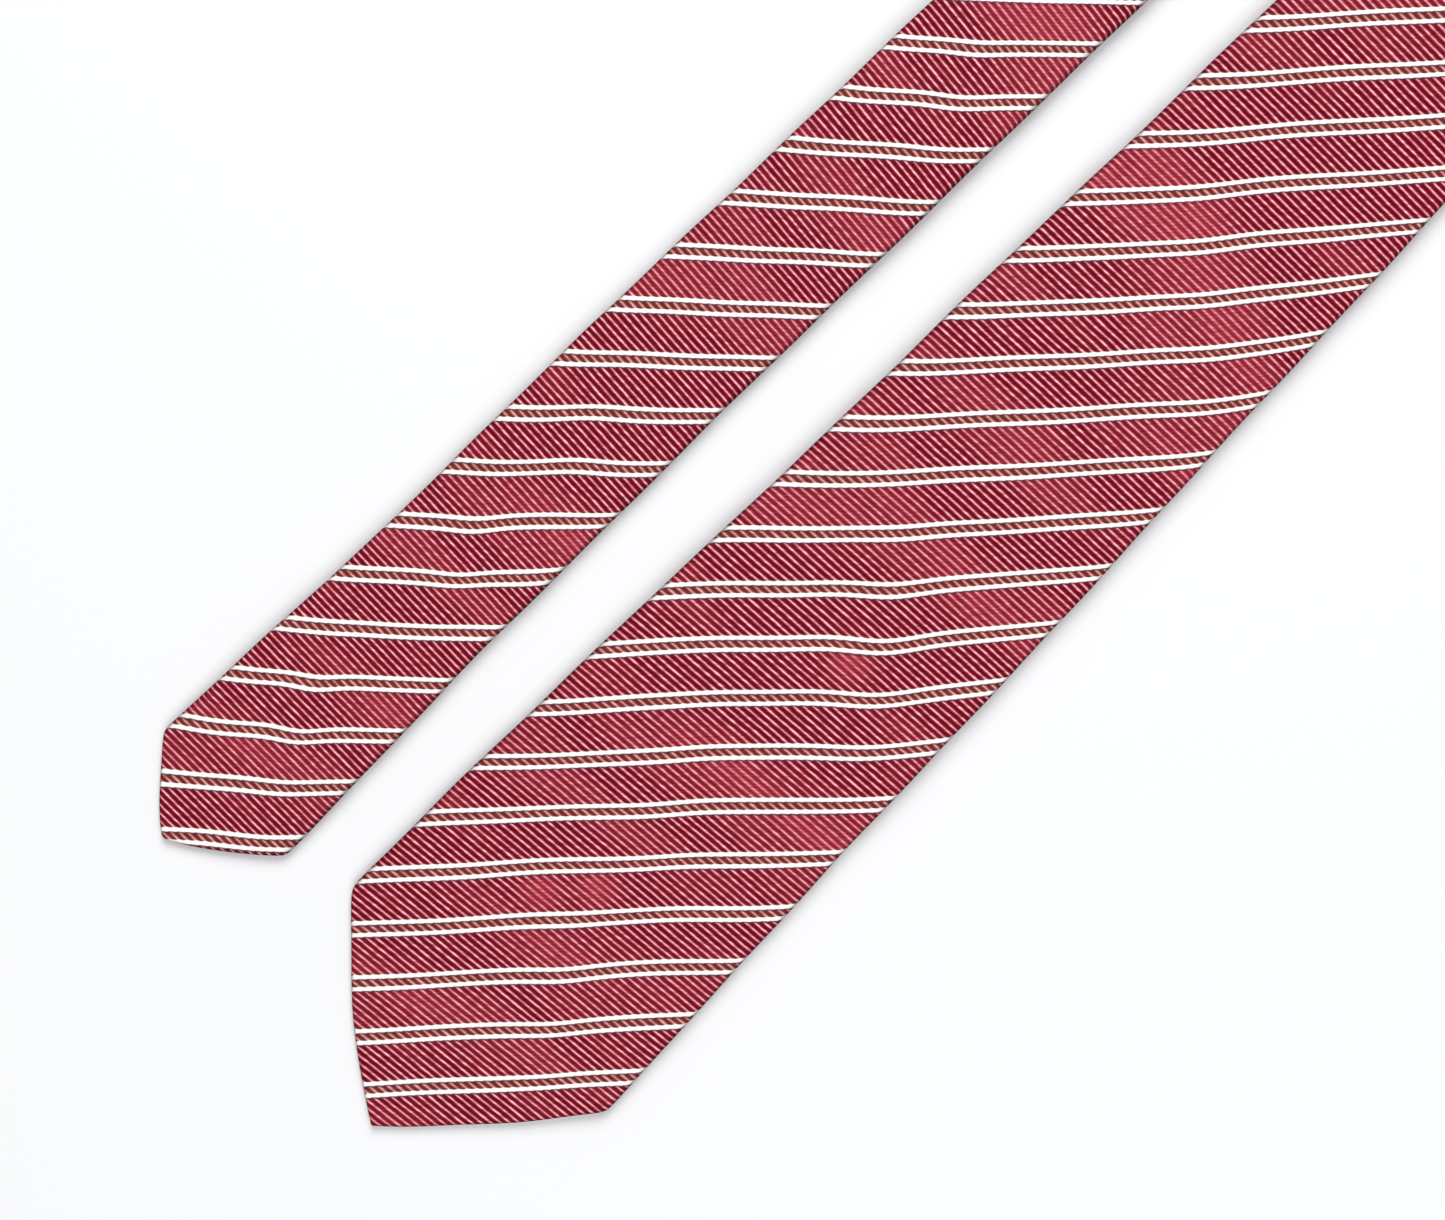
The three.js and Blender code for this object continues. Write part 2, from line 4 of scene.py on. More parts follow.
import bpy
import numpy as np
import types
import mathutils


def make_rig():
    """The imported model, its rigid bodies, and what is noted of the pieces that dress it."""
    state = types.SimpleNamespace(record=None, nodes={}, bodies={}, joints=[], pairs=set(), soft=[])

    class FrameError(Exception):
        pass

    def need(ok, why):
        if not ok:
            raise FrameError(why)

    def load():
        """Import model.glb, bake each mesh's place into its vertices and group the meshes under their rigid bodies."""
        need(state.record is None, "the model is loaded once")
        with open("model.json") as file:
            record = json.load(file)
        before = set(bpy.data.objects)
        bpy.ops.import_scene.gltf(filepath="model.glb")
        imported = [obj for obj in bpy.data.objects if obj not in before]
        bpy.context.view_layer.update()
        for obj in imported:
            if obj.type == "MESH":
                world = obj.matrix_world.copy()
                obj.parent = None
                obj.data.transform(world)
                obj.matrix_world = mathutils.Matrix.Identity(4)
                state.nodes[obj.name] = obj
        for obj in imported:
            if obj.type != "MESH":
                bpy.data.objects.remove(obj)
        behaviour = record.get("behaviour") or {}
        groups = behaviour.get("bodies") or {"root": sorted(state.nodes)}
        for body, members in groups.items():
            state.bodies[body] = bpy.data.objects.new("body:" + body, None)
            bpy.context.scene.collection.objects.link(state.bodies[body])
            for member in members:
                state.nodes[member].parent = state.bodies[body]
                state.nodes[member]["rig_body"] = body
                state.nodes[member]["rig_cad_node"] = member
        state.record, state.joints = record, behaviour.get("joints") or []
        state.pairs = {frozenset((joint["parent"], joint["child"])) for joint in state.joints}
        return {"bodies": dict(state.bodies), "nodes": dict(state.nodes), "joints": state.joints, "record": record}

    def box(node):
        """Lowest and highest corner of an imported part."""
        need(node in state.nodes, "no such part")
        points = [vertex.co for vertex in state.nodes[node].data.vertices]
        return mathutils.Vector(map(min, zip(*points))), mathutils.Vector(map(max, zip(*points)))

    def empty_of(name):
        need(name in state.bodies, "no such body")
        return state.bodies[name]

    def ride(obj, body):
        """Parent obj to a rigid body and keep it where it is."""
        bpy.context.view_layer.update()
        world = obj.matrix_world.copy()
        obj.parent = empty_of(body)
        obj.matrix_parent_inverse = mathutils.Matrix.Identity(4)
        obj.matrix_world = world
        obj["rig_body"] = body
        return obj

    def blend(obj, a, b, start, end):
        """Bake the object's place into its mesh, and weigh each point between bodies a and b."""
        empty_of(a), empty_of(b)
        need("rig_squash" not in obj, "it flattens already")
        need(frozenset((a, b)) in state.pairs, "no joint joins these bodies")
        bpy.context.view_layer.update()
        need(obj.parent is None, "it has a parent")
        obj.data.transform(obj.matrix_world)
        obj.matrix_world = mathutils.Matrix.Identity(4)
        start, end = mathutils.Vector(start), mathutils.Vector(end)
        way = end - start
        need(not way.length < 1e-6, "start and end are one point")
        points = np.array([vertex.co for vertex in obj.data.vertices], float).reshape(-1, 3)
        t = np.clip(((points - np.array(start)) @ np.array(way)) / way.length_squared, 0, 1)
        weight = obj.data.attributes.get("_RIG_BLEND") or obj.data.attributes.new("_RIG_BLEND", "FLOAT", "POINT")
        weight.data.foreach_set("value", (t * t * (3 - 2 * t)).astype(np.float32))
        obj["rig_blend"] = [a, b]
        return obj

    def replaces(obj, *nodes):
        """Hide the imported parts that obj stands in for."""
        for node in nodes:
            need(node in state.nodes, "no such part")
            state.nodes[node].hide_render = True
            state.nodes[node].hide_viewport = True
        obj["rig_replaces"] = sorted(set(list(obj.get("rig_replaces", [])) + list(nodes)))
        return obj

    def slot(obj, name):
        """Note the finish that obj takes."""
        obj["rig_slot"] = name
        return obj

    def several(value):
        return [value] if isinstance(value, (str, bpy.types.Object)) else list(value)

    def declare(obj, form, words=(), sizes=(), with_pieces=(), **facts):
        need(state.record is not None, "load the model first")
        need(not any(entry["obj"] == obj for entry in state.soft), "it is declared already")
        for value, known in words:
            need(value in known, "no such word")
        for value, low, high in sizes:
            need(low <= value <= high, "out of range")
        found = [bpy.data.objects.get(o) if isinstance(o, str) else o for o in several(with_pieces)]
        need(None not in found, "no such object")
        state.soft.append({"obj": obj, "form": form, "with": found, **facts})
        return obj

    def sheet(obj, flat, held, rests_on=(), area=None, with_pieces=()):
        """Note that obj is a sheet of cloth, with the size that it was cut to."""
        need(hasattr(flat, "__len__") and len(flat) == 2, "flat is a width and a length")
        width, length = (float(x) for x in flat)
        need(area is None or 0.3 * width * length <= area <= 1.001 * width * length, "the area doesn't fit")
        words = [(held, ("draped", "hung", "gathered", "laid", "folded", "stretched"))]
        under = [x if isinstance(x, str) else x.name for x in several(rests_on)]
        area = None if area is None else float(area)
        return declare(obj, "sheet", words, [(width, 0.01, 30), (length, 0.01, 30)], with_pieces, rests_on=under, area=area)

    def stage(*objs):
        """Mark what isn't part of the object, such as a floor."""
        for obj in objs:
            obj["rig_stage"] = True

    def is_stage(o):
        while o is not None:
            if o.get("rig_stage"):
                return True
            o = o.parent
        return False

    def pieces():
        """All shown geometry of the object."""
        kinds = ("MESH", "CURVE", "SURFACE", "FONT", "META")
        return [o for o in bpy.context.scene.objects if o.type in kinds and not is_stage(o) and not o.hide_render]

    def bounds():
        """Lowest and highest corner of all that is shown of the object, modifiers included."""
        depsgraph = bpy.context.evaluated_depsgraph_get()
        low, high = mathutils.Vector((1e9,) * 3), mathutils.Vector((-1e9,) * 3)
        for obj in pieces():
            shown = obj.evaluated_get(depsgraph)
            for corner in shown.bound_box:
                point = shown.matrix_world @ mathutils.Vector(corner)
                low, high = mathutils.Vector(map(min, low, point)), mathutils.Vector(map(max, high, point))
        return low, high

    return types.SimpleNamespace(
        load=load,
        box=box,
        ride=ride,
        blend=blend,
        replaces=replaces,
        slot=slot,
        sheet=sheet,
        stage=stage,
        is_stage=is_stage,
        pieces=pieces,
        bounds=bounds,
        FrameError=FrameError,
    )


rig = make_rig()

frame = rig.load()
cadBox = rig.bounds()
print("frame: %d nodes on %d bodies" % (len(frame["nodes"]), len(frame["bodies"])))

# Millimetres throughout; points become metres where a mesh, camera or light is made.
# A place on the flat tie is s along its centre line from the blade tip, u across it, and h above its back.
mm = 0.001


def linear(code):
    values = [int(code[i:i + 2], 16) / 255 for i in (1, 3, 5)]
    return tuple(v / 12.92 if v <= 0.04045 else ((v + 0.055) / 1.055) ** 2.4 for v in values) + (1.0,)


def node(tree, kind, inputs=None, stops=None, **settings):
    made = tree.nodes.new(kind)
    for name, value in settings.items():
        setattr(made, name, value)
    for i, (at, colour) in enumerate(stops or []):
        if i > 1:
            made.color_ramp.elements.new(at)
        made.color_ramp.elements[i].position = at
        made.color_ramp.elements[i].color = linear(colour)
    for socket, value in (inputs or {}).items():
        if isinstance(value, bpy.types.Node):
            value = value.outputs[0]
        if isinstance(value, bpy.types.NodeSocket):
            tree.links.new(value, made.inputs[socket])
        else:
            made.inputs[socket].default_value = value
    return made


def newMaterial(name):
    material = bpy.data.materials.new(name)
    material.use_nodes = True
    material.node_tree.nodes.clear()
    return material, material.node_tree


def smooth(x):
    x = np.clip(x, 0, 1)
    return x * x * (3 - 2 * x)


tie = {
    "length": 1480.0,
    "neckWidth": 36.5,
    "chest": (370.0, 69.7),  # distance from the blade tip, width
    "waist": (600.0, 52.0),
    "bladeNeckPast": 32.0,  # the blade's taper ends this far past the neck's first fold
    "tailBand": (95.0, 41.6),  # distance from the tail tip, width
    "tailSlim": (300.0, 39.5),
    "tailNeckShort": 58.0,  # the tail's taper starts this far past the second fold
    "bladeLean": -0.01,  # sideways run of a leg for each millimetre towards the neck
    "tailLean": 0.0149,
    "tipStagger": 14.7,  # the blade tip lies this much lower than the tail tip
    "levelGap": 1.2,  # between a leg and the neck band folded over it
    "bladeTack": 176.0,  # each from its own tip
    "tailTack": 82.0,
    "bladeJoinShort": 40.0,  # the diagonal join of blade and neck panel, before the first fold
    "tailJoin": 470.0,
}
# Each pointed end: how far its tip lies off the middle, each corner's distance up from the tip, and how
# far each slanted edge bows outwards
bladeEnd = {"width": 90.0, "shift": 2.8, "low": 40.9, "high": 46.4,
            "bowLow": 3.6, "bowHigh": 1.8, "bowShape": 0.8}
tailEnd = {"width": 46.5, "shift": 2.9, "low": 20.1, "high": 19.4,
           "bowLow": 2.2, "bowHigh": 1.1, "bowShape": 0.6}
bluntTip = 1.6  # width of a tip's very end


def nodeBox(name):
    return [np.array(corner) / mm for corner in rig.box(name)]


def slopes(end):
    low = (end["width"] / 2 + end["shift"]) / end["low"]
    high = (end["width"] / 2 - end["shift"]) / end["high"]
    return low, high, math.hypot(1, low), math.hypot(1, high)


def tipStart(end, inset):
    low, high, lowScale, highScale = slopes(end)
    return (bluntTip + inset * (lowScale + highScale)) / (low + high)


# Where the flat tie lies in the frame
bladeBox = nodeBox("blade_shell_end")
keeperBox = nodeBox("keeper_band")
tailTackBox = nodeBox("tail_bar_tack")
labelBox = nodeBox("label")
careBox = nodeBox("care_label")
backZ = bladeBox[0][2]
thickness = bladeBox[1][2] - backZ
middle = thickness / 2
bladeTipY = bladeBox[0][1] - tipStart(bladeEnd, 0) / 2
keeperAt = (keeperBox[0][1] + keeperBox[1][1]) / 2 - bladeTipY
bladeTipX = (keeperBox[0][0] + keeperBox[1][0]) / 2 - tie["bladeLean"] * keeperAt
tailTipX = (tailTackBox[0][0] + tailTackBox[1][0]) / 2 - tie["tailLean"] * tie["tailTack"]
bladeFold = (bladeBox[1][1] + nodeBox("blade_shell_upper")[0][1]) / 2 - bladeTipY
tailFoldY = (nodeBox("tail_shell_end")[1][1] + nodeBox("tail_shell_upper")[0][1]) / 2 - bladeTipY
tailFold = tie["length"] + tie["tipStagger"] - tailFoldY

# The two diagonal folds of the neck
rollRadius = (thickness + tie["levelGap"]) / 2
firstFoldAt = (tie["length"] + tie["tipStagger"] - bladeTipX + tailTipX
               - tie["tailLean"] * tie["tipStagger"]) / (2 + tie["bladeLean"] - tie["tailLean"])
bladeNeckX = bladeTipX + tie["bladeLean"] * firstFoldAt
tailNeckX = tailTipX + tie["tailLean"] * (firstFoldAt - tie["tipStagger"])
secondFoldAt = firstFoldAt + bladeNeckX - tailNeckX
neckMiddle = (firstFoldAt + secondFoldAt) / 2
bladeJoin = firstFoldAt - tie["bladeJoinShort"]
tailJoin = tie["length"] - tie["tailJoin"]


def foldLine(x, directionIn, directionOut):
    inward = np.array(directionIn) / np.linalg.norm(directionIn)
    outward = np.array(directionOut) / np.linalg.norm(directionOut)
    along = (inward + outward) / np.linalg.norm(inward + outward)
    beyond = (inward - outward) / np.linalg.norm(inward - outward)
    return {"at": np.array([x, firstFoldAt]), "along": along, "beyond": beyond}


firstFold = foldLine(bladeNeckX, (tie["bladeLean"], 1), (-1, 0))
secondFold = foldLine(tailNeckX, (-1, 0), (-tie["tailLean"], -1))
firstSlant = firstFold["along"][1] / (firstFold["along"][0] - tie["bladeLean"] * firstFold["along"][1])
secondSlant = secondFold["along"][0] / secondFold["along"][1]

widths = np.array([
    (0, bladeEnd["width"]),
    (bladeEnd["high"], bladeEnd["width"]),
    tie["chest"],
    tie["waist"],
    (firstFoldAt + tie["bladeNeckPast"], tie["neckWidth"]),
    (secondFoldAt + tie["tailNeckShort"], tie["neckWidth"]),
    (tie["length"] - tie["tailSlim"][0], tie["tailSlim"][1]),
    (tie["length"] - tie["tailBand"][0], tie["tailBand"][1]),
    (tie["length"] - tailEnd["high"], tailEnd["width"]),
    (tie["length"], tailEnd["width"]),
])


# Low and high edge at s, moved inwards by inset; pressed cloth never folds dead straight
def edges(s, inset=0.0):
    half = np.interp(s, widths[:, 0], widths[:, 1]) / 2
    low = -half + inset + (0.16 * np.sin(s / 17.0 + 1.0) + 0.10 * np.sin(s / 7.3))
    high = half - inset + (0.16 * np.sin(s / 19.0 + 2.2) + 0.10 * np.sin(s / 6.1 + 0.7))
    for end, run in ((bladeEnd, s), (tailEnd, tie["length"] - s)):
        lowSlope, highSlope, lowScale, highScale = slopes(end)
        ripple = 0.22 * np.sin(run / 3.9 + 0.5)
        bows = []
        for bow, corner in (("bowLow", "low"), ("bowHigh", "high")):
            upEdge = np.clip(run / end[corner], 0, 1) ** end["bowShape"]
            bows.append(end[bow] * np.sin(math.pi * upEdge))
        low = softMaximum(low, end["shift"] - lowSlope * run + inset * lowScale + ripple - bows[0])
        high = -softMaximum(-high, -end["shift"] - highSlope * run + inset * highScale - ripple - bows[1])
    return low, high


# The higher of two edges, with the corner between them turned at a small radius
def softMaximum(a, b):
    cornerSoftness = 1.3
    return (a + b + np.hypot(a - b, cornerSoftness)) / 2


def roll(points, fold, level, turn):
    flat = points[:, :2] - fold["at"]
    out = flat @ fold["beyond"]
    half = rollRadius * math.pi / 2
    rise = turn * (points[:, 2] - level)
    angle = np.clip((out + half) / rollRadius, 0, math.pi)
    reach = np.where(out >= half, -out, (rollRadius - rise) * np.sin(angle) - half)
    lift = rollRadius - (rollRadius - rise) * np.cos(angle)
    rolled = flat + (reach - out)[:, None] * fold["beyond"] + fold["at"]
    moved = np.column_stack([rolled, level + turn * lift])
    return np.where((out <= -half)[:, None], points, moved)


# How far the padding fills the tie at a place: thin points, a soft crown, shallow waves, a tack's dimple
def plump(s, u):
    points = 0.5 + 0.5 * smooth(s / 80) * smooth((tie["length"] - s) / 50)
    half = np.interp(s, widths[:, 0], widths[:, 1]) / 2
    crown = 1 + 0.04 * (1 - np.clip(u / half, -1, 1) ** 2)
    waves = 1 + 0.025 * np.sin(s / 21.0 + 0.7 * np.sin(u / 13.0)) * np.cos(u / 17.0 + s / 53.0)
    bladeDimple = 1 - 0.20 * np.exp(-((s - tie["bladeTack"]) / 7) ** 2 - ((u - 6) / 11) ** 2)
    tailAt = tie["length"] - tie["tailTack"]
    tailDimple = 1 - 0.12 * np.exp(-((s - tailAt) / 6) ** 2 - (u / 8) ** 2)
    return points * crown * waves * bladeDimple * tailDimple


# The two ends sink to the table where nothing is sewn beneath them
def settle(s):
    run = tie["length"] - s
    return -0.85 * (1 - smooth((s - 110) / 75) + 1 - smooth((run - 200) / 80))


# Neither leg lies quite straight
def drift(s):
    run = tie["length"] - s
    return 0.7 * np.exp(-((run - 185) / 85) ** 4) - 0.7 * np.exp(-((s - 115) / 45) ** 4)


def place(s, u, h):
    s, u, h = (np.ravel(values).astype(float) for values in np.broadcast_arrays(s, u, h))
    height = backZ + settle(s) + h * plump(s, u)
    flat = np.column_stack([bladeTipX + tie["bladeLean"] * s + u + drift(s), s, height])
    over = roll(flat, firstFold, backZ + middle, 1)
    under = roll(over, secondFold, backZ + middle + 2 * rollRadius, -1)
    isPast = s - secondSlant * u >= neckMiddle
    placed = np.where(isPast[:, None], under, over)
    placed[:, 1] += bladeTipY
    return placed


view = {"lens": 60.0, "aim": (4.9, -203.7), "across": 380.3, "turn": 45.0, "sensor": 36.0}
studio = {
    "floor": ("#F1F2F4", "#F4F5F6"),
    "floorSize": 24.0,  # lengths in this dictionary are in metres
    "air": "#FFFFFF",
    "airStrength": 0.28,
    "key": 31.0,
    "keyAt": (-0.9, 0.9, 1.5),
    "fill": 18.5,
    "fillAt": (0.9, -0.9, 1.5),
    "lightSize": 1.5,
}


def addCamera():
    data = bpy.data.cameras.new("camera")
    data.lens = view["lens"]
    data.sensor_width = view["sensor"]
    camera = bpy.data.objects.new("camera", data)
    bpy.context.scene.collection.objects.link(camera)
    distance = view["across"] * view["lens"] / view["sensor"] + backZ + thickness
    camera.location = (view["aim"][0] * mm, view["aim"][1] * mm, distance * mm)
    camera.rotation_euler = (0, 0, math.radians(view["turn"]))
    data.clip_start, data.clip_end = 0.01, 50
    bpy.context.scene.camera = camera


def addLight(name, at, power):
    data = bpy.data.lights.new(name, "AREA")
    data.shape = "DISK"
    data.size = studio["lightSize"]
    data.energy = power
    light = bpy.data.objects.new(name, data)
    bpy.context.scene.collection.objects.link(light)
    light.location = at
    aim = -light.location
    light.rotation_euler = aim.to_track_quat("-Z", "Y").to_euler()


def addStudio():
    world = bpy.data.worlds.new("studioAir")
    bpy.context.scene.world = world
    world.use_nodes = True
    background = world.node_tree.nodes["Background"]
    background.inputs["Color"].default_value = linear(studio["air"])
    background.inputs["Strength"].default_value = studio["airStrength"]
    addLight("keyLight", studio["keyAt"], studio["key"])
    addLight("fillLight", studio["fillAt"], studio["fill"])
    # Painted studio board: a matt, even pale surface
    material, tree = newMaterial("floorBoardPainted")
    mottle = node(tree, "ShaderNodeTexNoise", {"Scale": 7.0, "Detail": 3.0})
    darker, lighter = studio["floor"]
    tone = node(tree, "ShaderNodeValToRGB", {0: mottle}, [(0.3, darker), (0.7, lighter)])
    board = node(tree, "ShaderNodeBsdfPrincipled", {"Base Color": tone, "Roughness": 0.9,
                                                     "Specular IOR Level": 0.1})
    node(tree, "ShaderNodeOutputMaterial", {0: board})
    bpy.ops.mesh.primitive_plane_add(size=studio["floorSize"], location=(0, 0, -0.2 * mm))
    floor = bpy.context.object
    floor.name = "floor"
    floor.data.materials.append(material)
    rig.stage(floor)


addCamera()
addStudio()
print("camera and studio made")


weave = {"ribPitch": 1.7, "stripePitch": 14.2}  # from one rib, and one pair of white lines, to the next


# Yarn-dyed silk twill, woven: a steep rib over a deep wine ground, with a painted pale pink highlight on each crest
# and painted dark shade in each trough, with pairs of glossy white lines, each with a dark slate edge along its lower
# side, and a rust band between the two
def silkTwill():
    material, tree = newMaterial("silkTwillWoven")
    cloth = node(tree, "ShaderNodeUVMap", uv_map="cloth")
    parts = node(tree, "ShaderNodeSeparateXYZ", {0: cloth})
    across, over = parts.outputs[0], parts.outputs[1]
    # Threads drift a little, so that no rib is ruled straight
    wander = node(tree, "ShaderNodeTexNoise", {"Vector": cloth, "Scale": 0.11, "Detail": 2.0})
    wandered = node(tree, "ShaderNodeMath", {0: wander, 1: 0.5}, operation="MULTIPLY")
    ribAt = node(tree, "ShaderNodeMath", {0: over, 1: wandered}, operation="ADD")
    fromCrest = node(tree, "ShaderNodeMath", {0: ribAt, 1: weave["ribPitch"] / 2}, operation="PINGPONG")
    share = node(tree, "ShaderNodeMath", {0: fromCrest, 1: weave["ribPitch"] / 2}, operation="DIVIDE")
    # The press of iron and hand leaves patches, longer along the ribs, where they lie flatter and their painted
    # highlight and shade grow weaker
    patchAt = node(tree, "ShaderNodeMapping", {"Vector": cloth, "Scale": (0.016, 0.04, 1.0)})
    patch = node(tree, "ShaderNodeTexNoise", {"Vector": patchAt, "Scale": 1.0, "Detail": 3.0})
    flatShare = node(tree, "ShaderNodeMapRange", {0: patch, 1: 0.45, 2: 0.68, 3: 0.0, 4: 0.8})
    pressed = node(tree, "ShaderNodeAttribute", attribute_name="pressed")
    flatness = node(tree, "ShaderNodeMath", {0: flatShare, 1: pressed.outputs[2]}, operation="MAXIMUM")
    # Each filament's painted glint reaches a little more or less far than the next
    glintAt = node(tree, "ShaderNodeMapping", {"Vector": cloth, "Scale": (0.9, 0.58, 1.0)})
    glint = node(tree, "ShaderNodeTexNoise", {"Vector": glintAt, "Scale": 1.0, "Detail": 2.0})
    glintShift = node(tree, "ShaderNodeMapRange", {0: glint, 1: 0.3, 2: 0.7, 3: -0.12, 4: 0.14})
    ribShare = node(tree, "ShaderNodeMath", {0: share, 1: glintShift}, operation="ADD", use_clamp=True)
    # Picks 0.9 mm apart cross the ribs and show as dots where the cloth is flat
    pick = node(tree, "ShaderNodeMath", {0: across, 1: 0.45}, operation="PINGPONG")
    pickShift = node(tree, "ShaderNodeMapRange", {0: pick, 1: 0.0, 2: 0.45, 3: -0.12, 4: 0.16})
    dotShare = node(tree, "ShaderNodeMath", {0: ribShare, 1: pickShift}, operation="ADD", use_clamp=True)
    # Painted light on the ribs: a pale pink painted highlight on each crest, through the wine ground to painted dark
    # shade in each trough
    ground = node(tree, "ShaderNodeValToRGB", {0: ribShare}, [
        (0.0, "#FFD0D7"), (0.11, "#F0A2AC"), (0.25, "#BA5C6B"), (0.41, "#902D3D"), (0.62, "#741222"),
        (1.0, "#5E0511")])
    # Where the ribs lie flat: a paler crimson with a weaker painted crest highlight and trough shade, and dots at the
    # picks
    flattened = node(tree, "ShaderNodeValToRGB", {0: dotShare}, [
        (0.0, "#E08A93"), (0.25, "#C25563"), (0.6, "#A83A48"), (1.0, "#92232F")])
    red = node(tree, "ShaderNodeMix", {0: flatness, 6: ground.outputs[0], 7: flattened.outputs[0]},
               data_type="RGBA")
    # The rust band between the lines: real rust colour, with the same painted crest highlight and trough shade
    rust = node(tree, "ShaderNodeValToRGB", {0: ribShare}, [
        (0.0, "#F2B4AC"), (0.15, "#D08E86"), (0.34, "#A05A56"), (0.6, "#783634"), (1.0, "#66211F")])
    # The white lines, a touch darker in the rib troughs as painted shade
    white = node(tree, "ShaderNodeValToRGB", {0: ribShare}, [(0.0, "#FFFFFF"), (1.0, "#F3F1EC")])
    # One repeat of the warp, with the pair of lines in its middle, and a scallop where the ribs cross
    scallop = node(tree, "ShaderNodeMapRange", {0: share, 1: 0.0, 2: 1.0, 3: -0.09, 4: 0.09})
    scalloped = node(tree, "ShaderNodeMath", {0: across, 1: scallop}, operation="ADD")
    repeats = node(tree, "ShaderNodeMath", {0: scalloped, 1: 1 / weave["stripePitch"]}, operation="MULTIPLY")
    centred = node(tree, "ShaderNodeMath", {0: repeats, 1: 0.5}, operation="ADD")
    warpAt = node(tree, "ShaderNodeMath", {0: centred}, operation="FRACT")
    black, full = "#000000", "#FFFFFF"
    isLine = node(tree, "ShaderNodeValToRGB", {0: warpAt}, [
        (0.347, black), (0.356, full), (0.423, full), (0.432, black),
        (0.568, black), (0.577, full), (0.644, full), (0.653, black)])
    # A dark slate edge runs along the lower side of each line, strongest close to it
    isSlate = node(tree, "ShaderNodeValToRGB", {0: warpAt}, [
        (0.300, black), (0.328, full), (0.352, full), (0.360, black),
        (0.524, black), (0.551, full), (0.574, full), (0.582, black)])
    slateShare = node(tree, "ShaderNodeMath", {0: isSlate, 1: 0.72}, operation="MULTIPLY")
    isBand = node(tree, "ShaderNodeValToRGB", {0: warpAt}, [
        (0.430, black), (0.440, full), (0.650, full), (0.685, black)])
    banded = node(tree, "ShaderNodeMix", {0: isBand, 6: red.outputs[2], 7: rust.outputs[0]}, data_type="RGBA")
    edged = node(tree, "ShaderNodeMix", {0: slateShare, 6: banded.outputs[2], 7: linear("#4E2A3C")},
                 data_type="RGBA")
    lined = node(tree, "ShaderNodeMix", {0: isLine, 6: edged.outputs[2], 7: white.outputs[0]},
                 data_type="RGBA")
    # Painted shade along the folded edges, where the cloth turns away from the light: slightly darker cloth
    paintedEdgeShade = node(tree, "ShaderNodeAttribute", attribute_name="paintedEdgeShade")
    edgeShadeShare = node(tree, "ShaderNodeMath", {0: paintedEdgeShade.outputs[2], 1: 0.8}, operation="MULTIPLY")
    shaded = node(tree, "ShaderNodeMix", {0: edgeShadeShare, 6: lined.outputs[2], 7: linear("#3C0A12")},
                  data_type="RGBA")
    relief = node(tree, "ShaderNodeMapRange", {0: share, 1: 0.0, 2: 1.0, 3: 1.0, 4: 0.0},
                  interpolation_type="SMOOTHSTEP")
    lineRelief = node(tree, "ShaderNodeMath", {0: isLine, 1: 0.6}, operation="MULTIPLY")
    height = node(tree, "ShaderNodeMath", {0: relief, 1: lineRelief}, operation="MAXIMUM")
    bump = node(tree, "ShaderNodeBump", {"Height": height, "Strength": 0.6, "Distance": 0.12 * mm})
    gloss = node(tree, "ShaderNodeMapRange", {0: share, 1: 0.0, 2: 1.0, 3: 0.36, 4: 0.6})
    # Only the crests of the ribs catch the light
    shine = node(tree, "ShaderNodeMapRange", {0: share, 1: 0.0, 2: 0.6, 3: 0.22, 4: 0.02})
    silk = node(tree, "ShaderNodeBsdfPrincipled", {
        "Base Color": shaded.outputs[2], "Roughness": gloss.outputs[0], "IOR": 1.45,
        "Specular IOR Level": shine, "Normal": bump})
    node(tree, "ShaderNodeOutputMaterial", {0: silk})
    return material


# Wool and cotton interlining, plain woven and brushed: matt, cream, with a thick open thread
def woolInterlining():
    material, tree = newMaterial("woolInterliningBrushed")
    cloth = node(tree, "ShaderNodeUVMap", uv_map="cloth")
    parts = node(tree, "ShaderNodeSeparateXYZ", {0: cloth})
    # Thread spacing 0.9 mm
    warp = node(tree, "ShaderNodeMath", {0: parts.outputs[0], 1: 0.45}, operation="PINGPONG")
    weft = node(tree, "ShaderNodeMath", {0: parts.outputs[1], 1: 0.45}, operation="PINGPONG")
    threads = node(tree, "ShaderNodeMath", {0: warp, 1: weft}, operation="ADD")
    fuzz = node(tree, "ShaderNodeTexNoise", {"Vector": cloth, "Scale": 1.8, "Detail": 5.0})
    fuzzed = node(tree, "ShaderNodeMath", {0: threads, 1: fuzz}, operation="MULTIPLY")
    tone = node(tree, "ShaderNodeValToRGB", {0: fuzzed}, [(0.0, "#EFE8D8"), (0.6, "#CFC4AC")])
    bump = node(tree, "ShaderNodeBump", {"Height": fuzzed, "Strength": 0.7, "Distance": 0.3 * mm})
    wool = node(tree, "ShaderNodeBsdfPrincipled", {
        "Base Color": tone, "Roughness": 0.95, "Sheen Weight": 0.3, "Normal": bump})
    node(tree, "ShaderNodeOutputMaterial", {0: wool})
    return material


# Acetate lining, satin woven: a smooth wine surface with long soft reflections along the warp
def tippingLining():
    material, tree = newMaterial("acetateLiningSatin")
    cloth = node(tree, "ShaderNodeUVMap", uv_map="cloth")
    # Warp threads 0.25 mm apart, drawn 0.5 mm apart so that they show
    warpAt = node(tree, "ShaderNodeMapping", {"Vector": cloth, "Scale": (2.0, 0.05, 1.0)})
    warp = node(tree, "ShaderNodeTexNoise", {"Vector": warpAt, "Scale": 1.0, "Detail": 2.0})
    tone = node(tree, "ShaderNodeValToRGB", {0: warp}, [(0.3, "#641322"), (0.7, "#8B2436")])
    bump = node(tree, "ShaderNodeBump", {"Height": warp, "Strength": 0.25, "Distance": 0.08 * mm})
    lining = node(tree, "ShaderNodeBsdfPrincipled", {
        "Base Color": tone, "Roughness": 0.33, "IOR": 1.47, "Anisotropic": 0.4, "Normal": bump})
    node(tree, "ShaderNodeOutputMaterial", {0: lining})
    return material


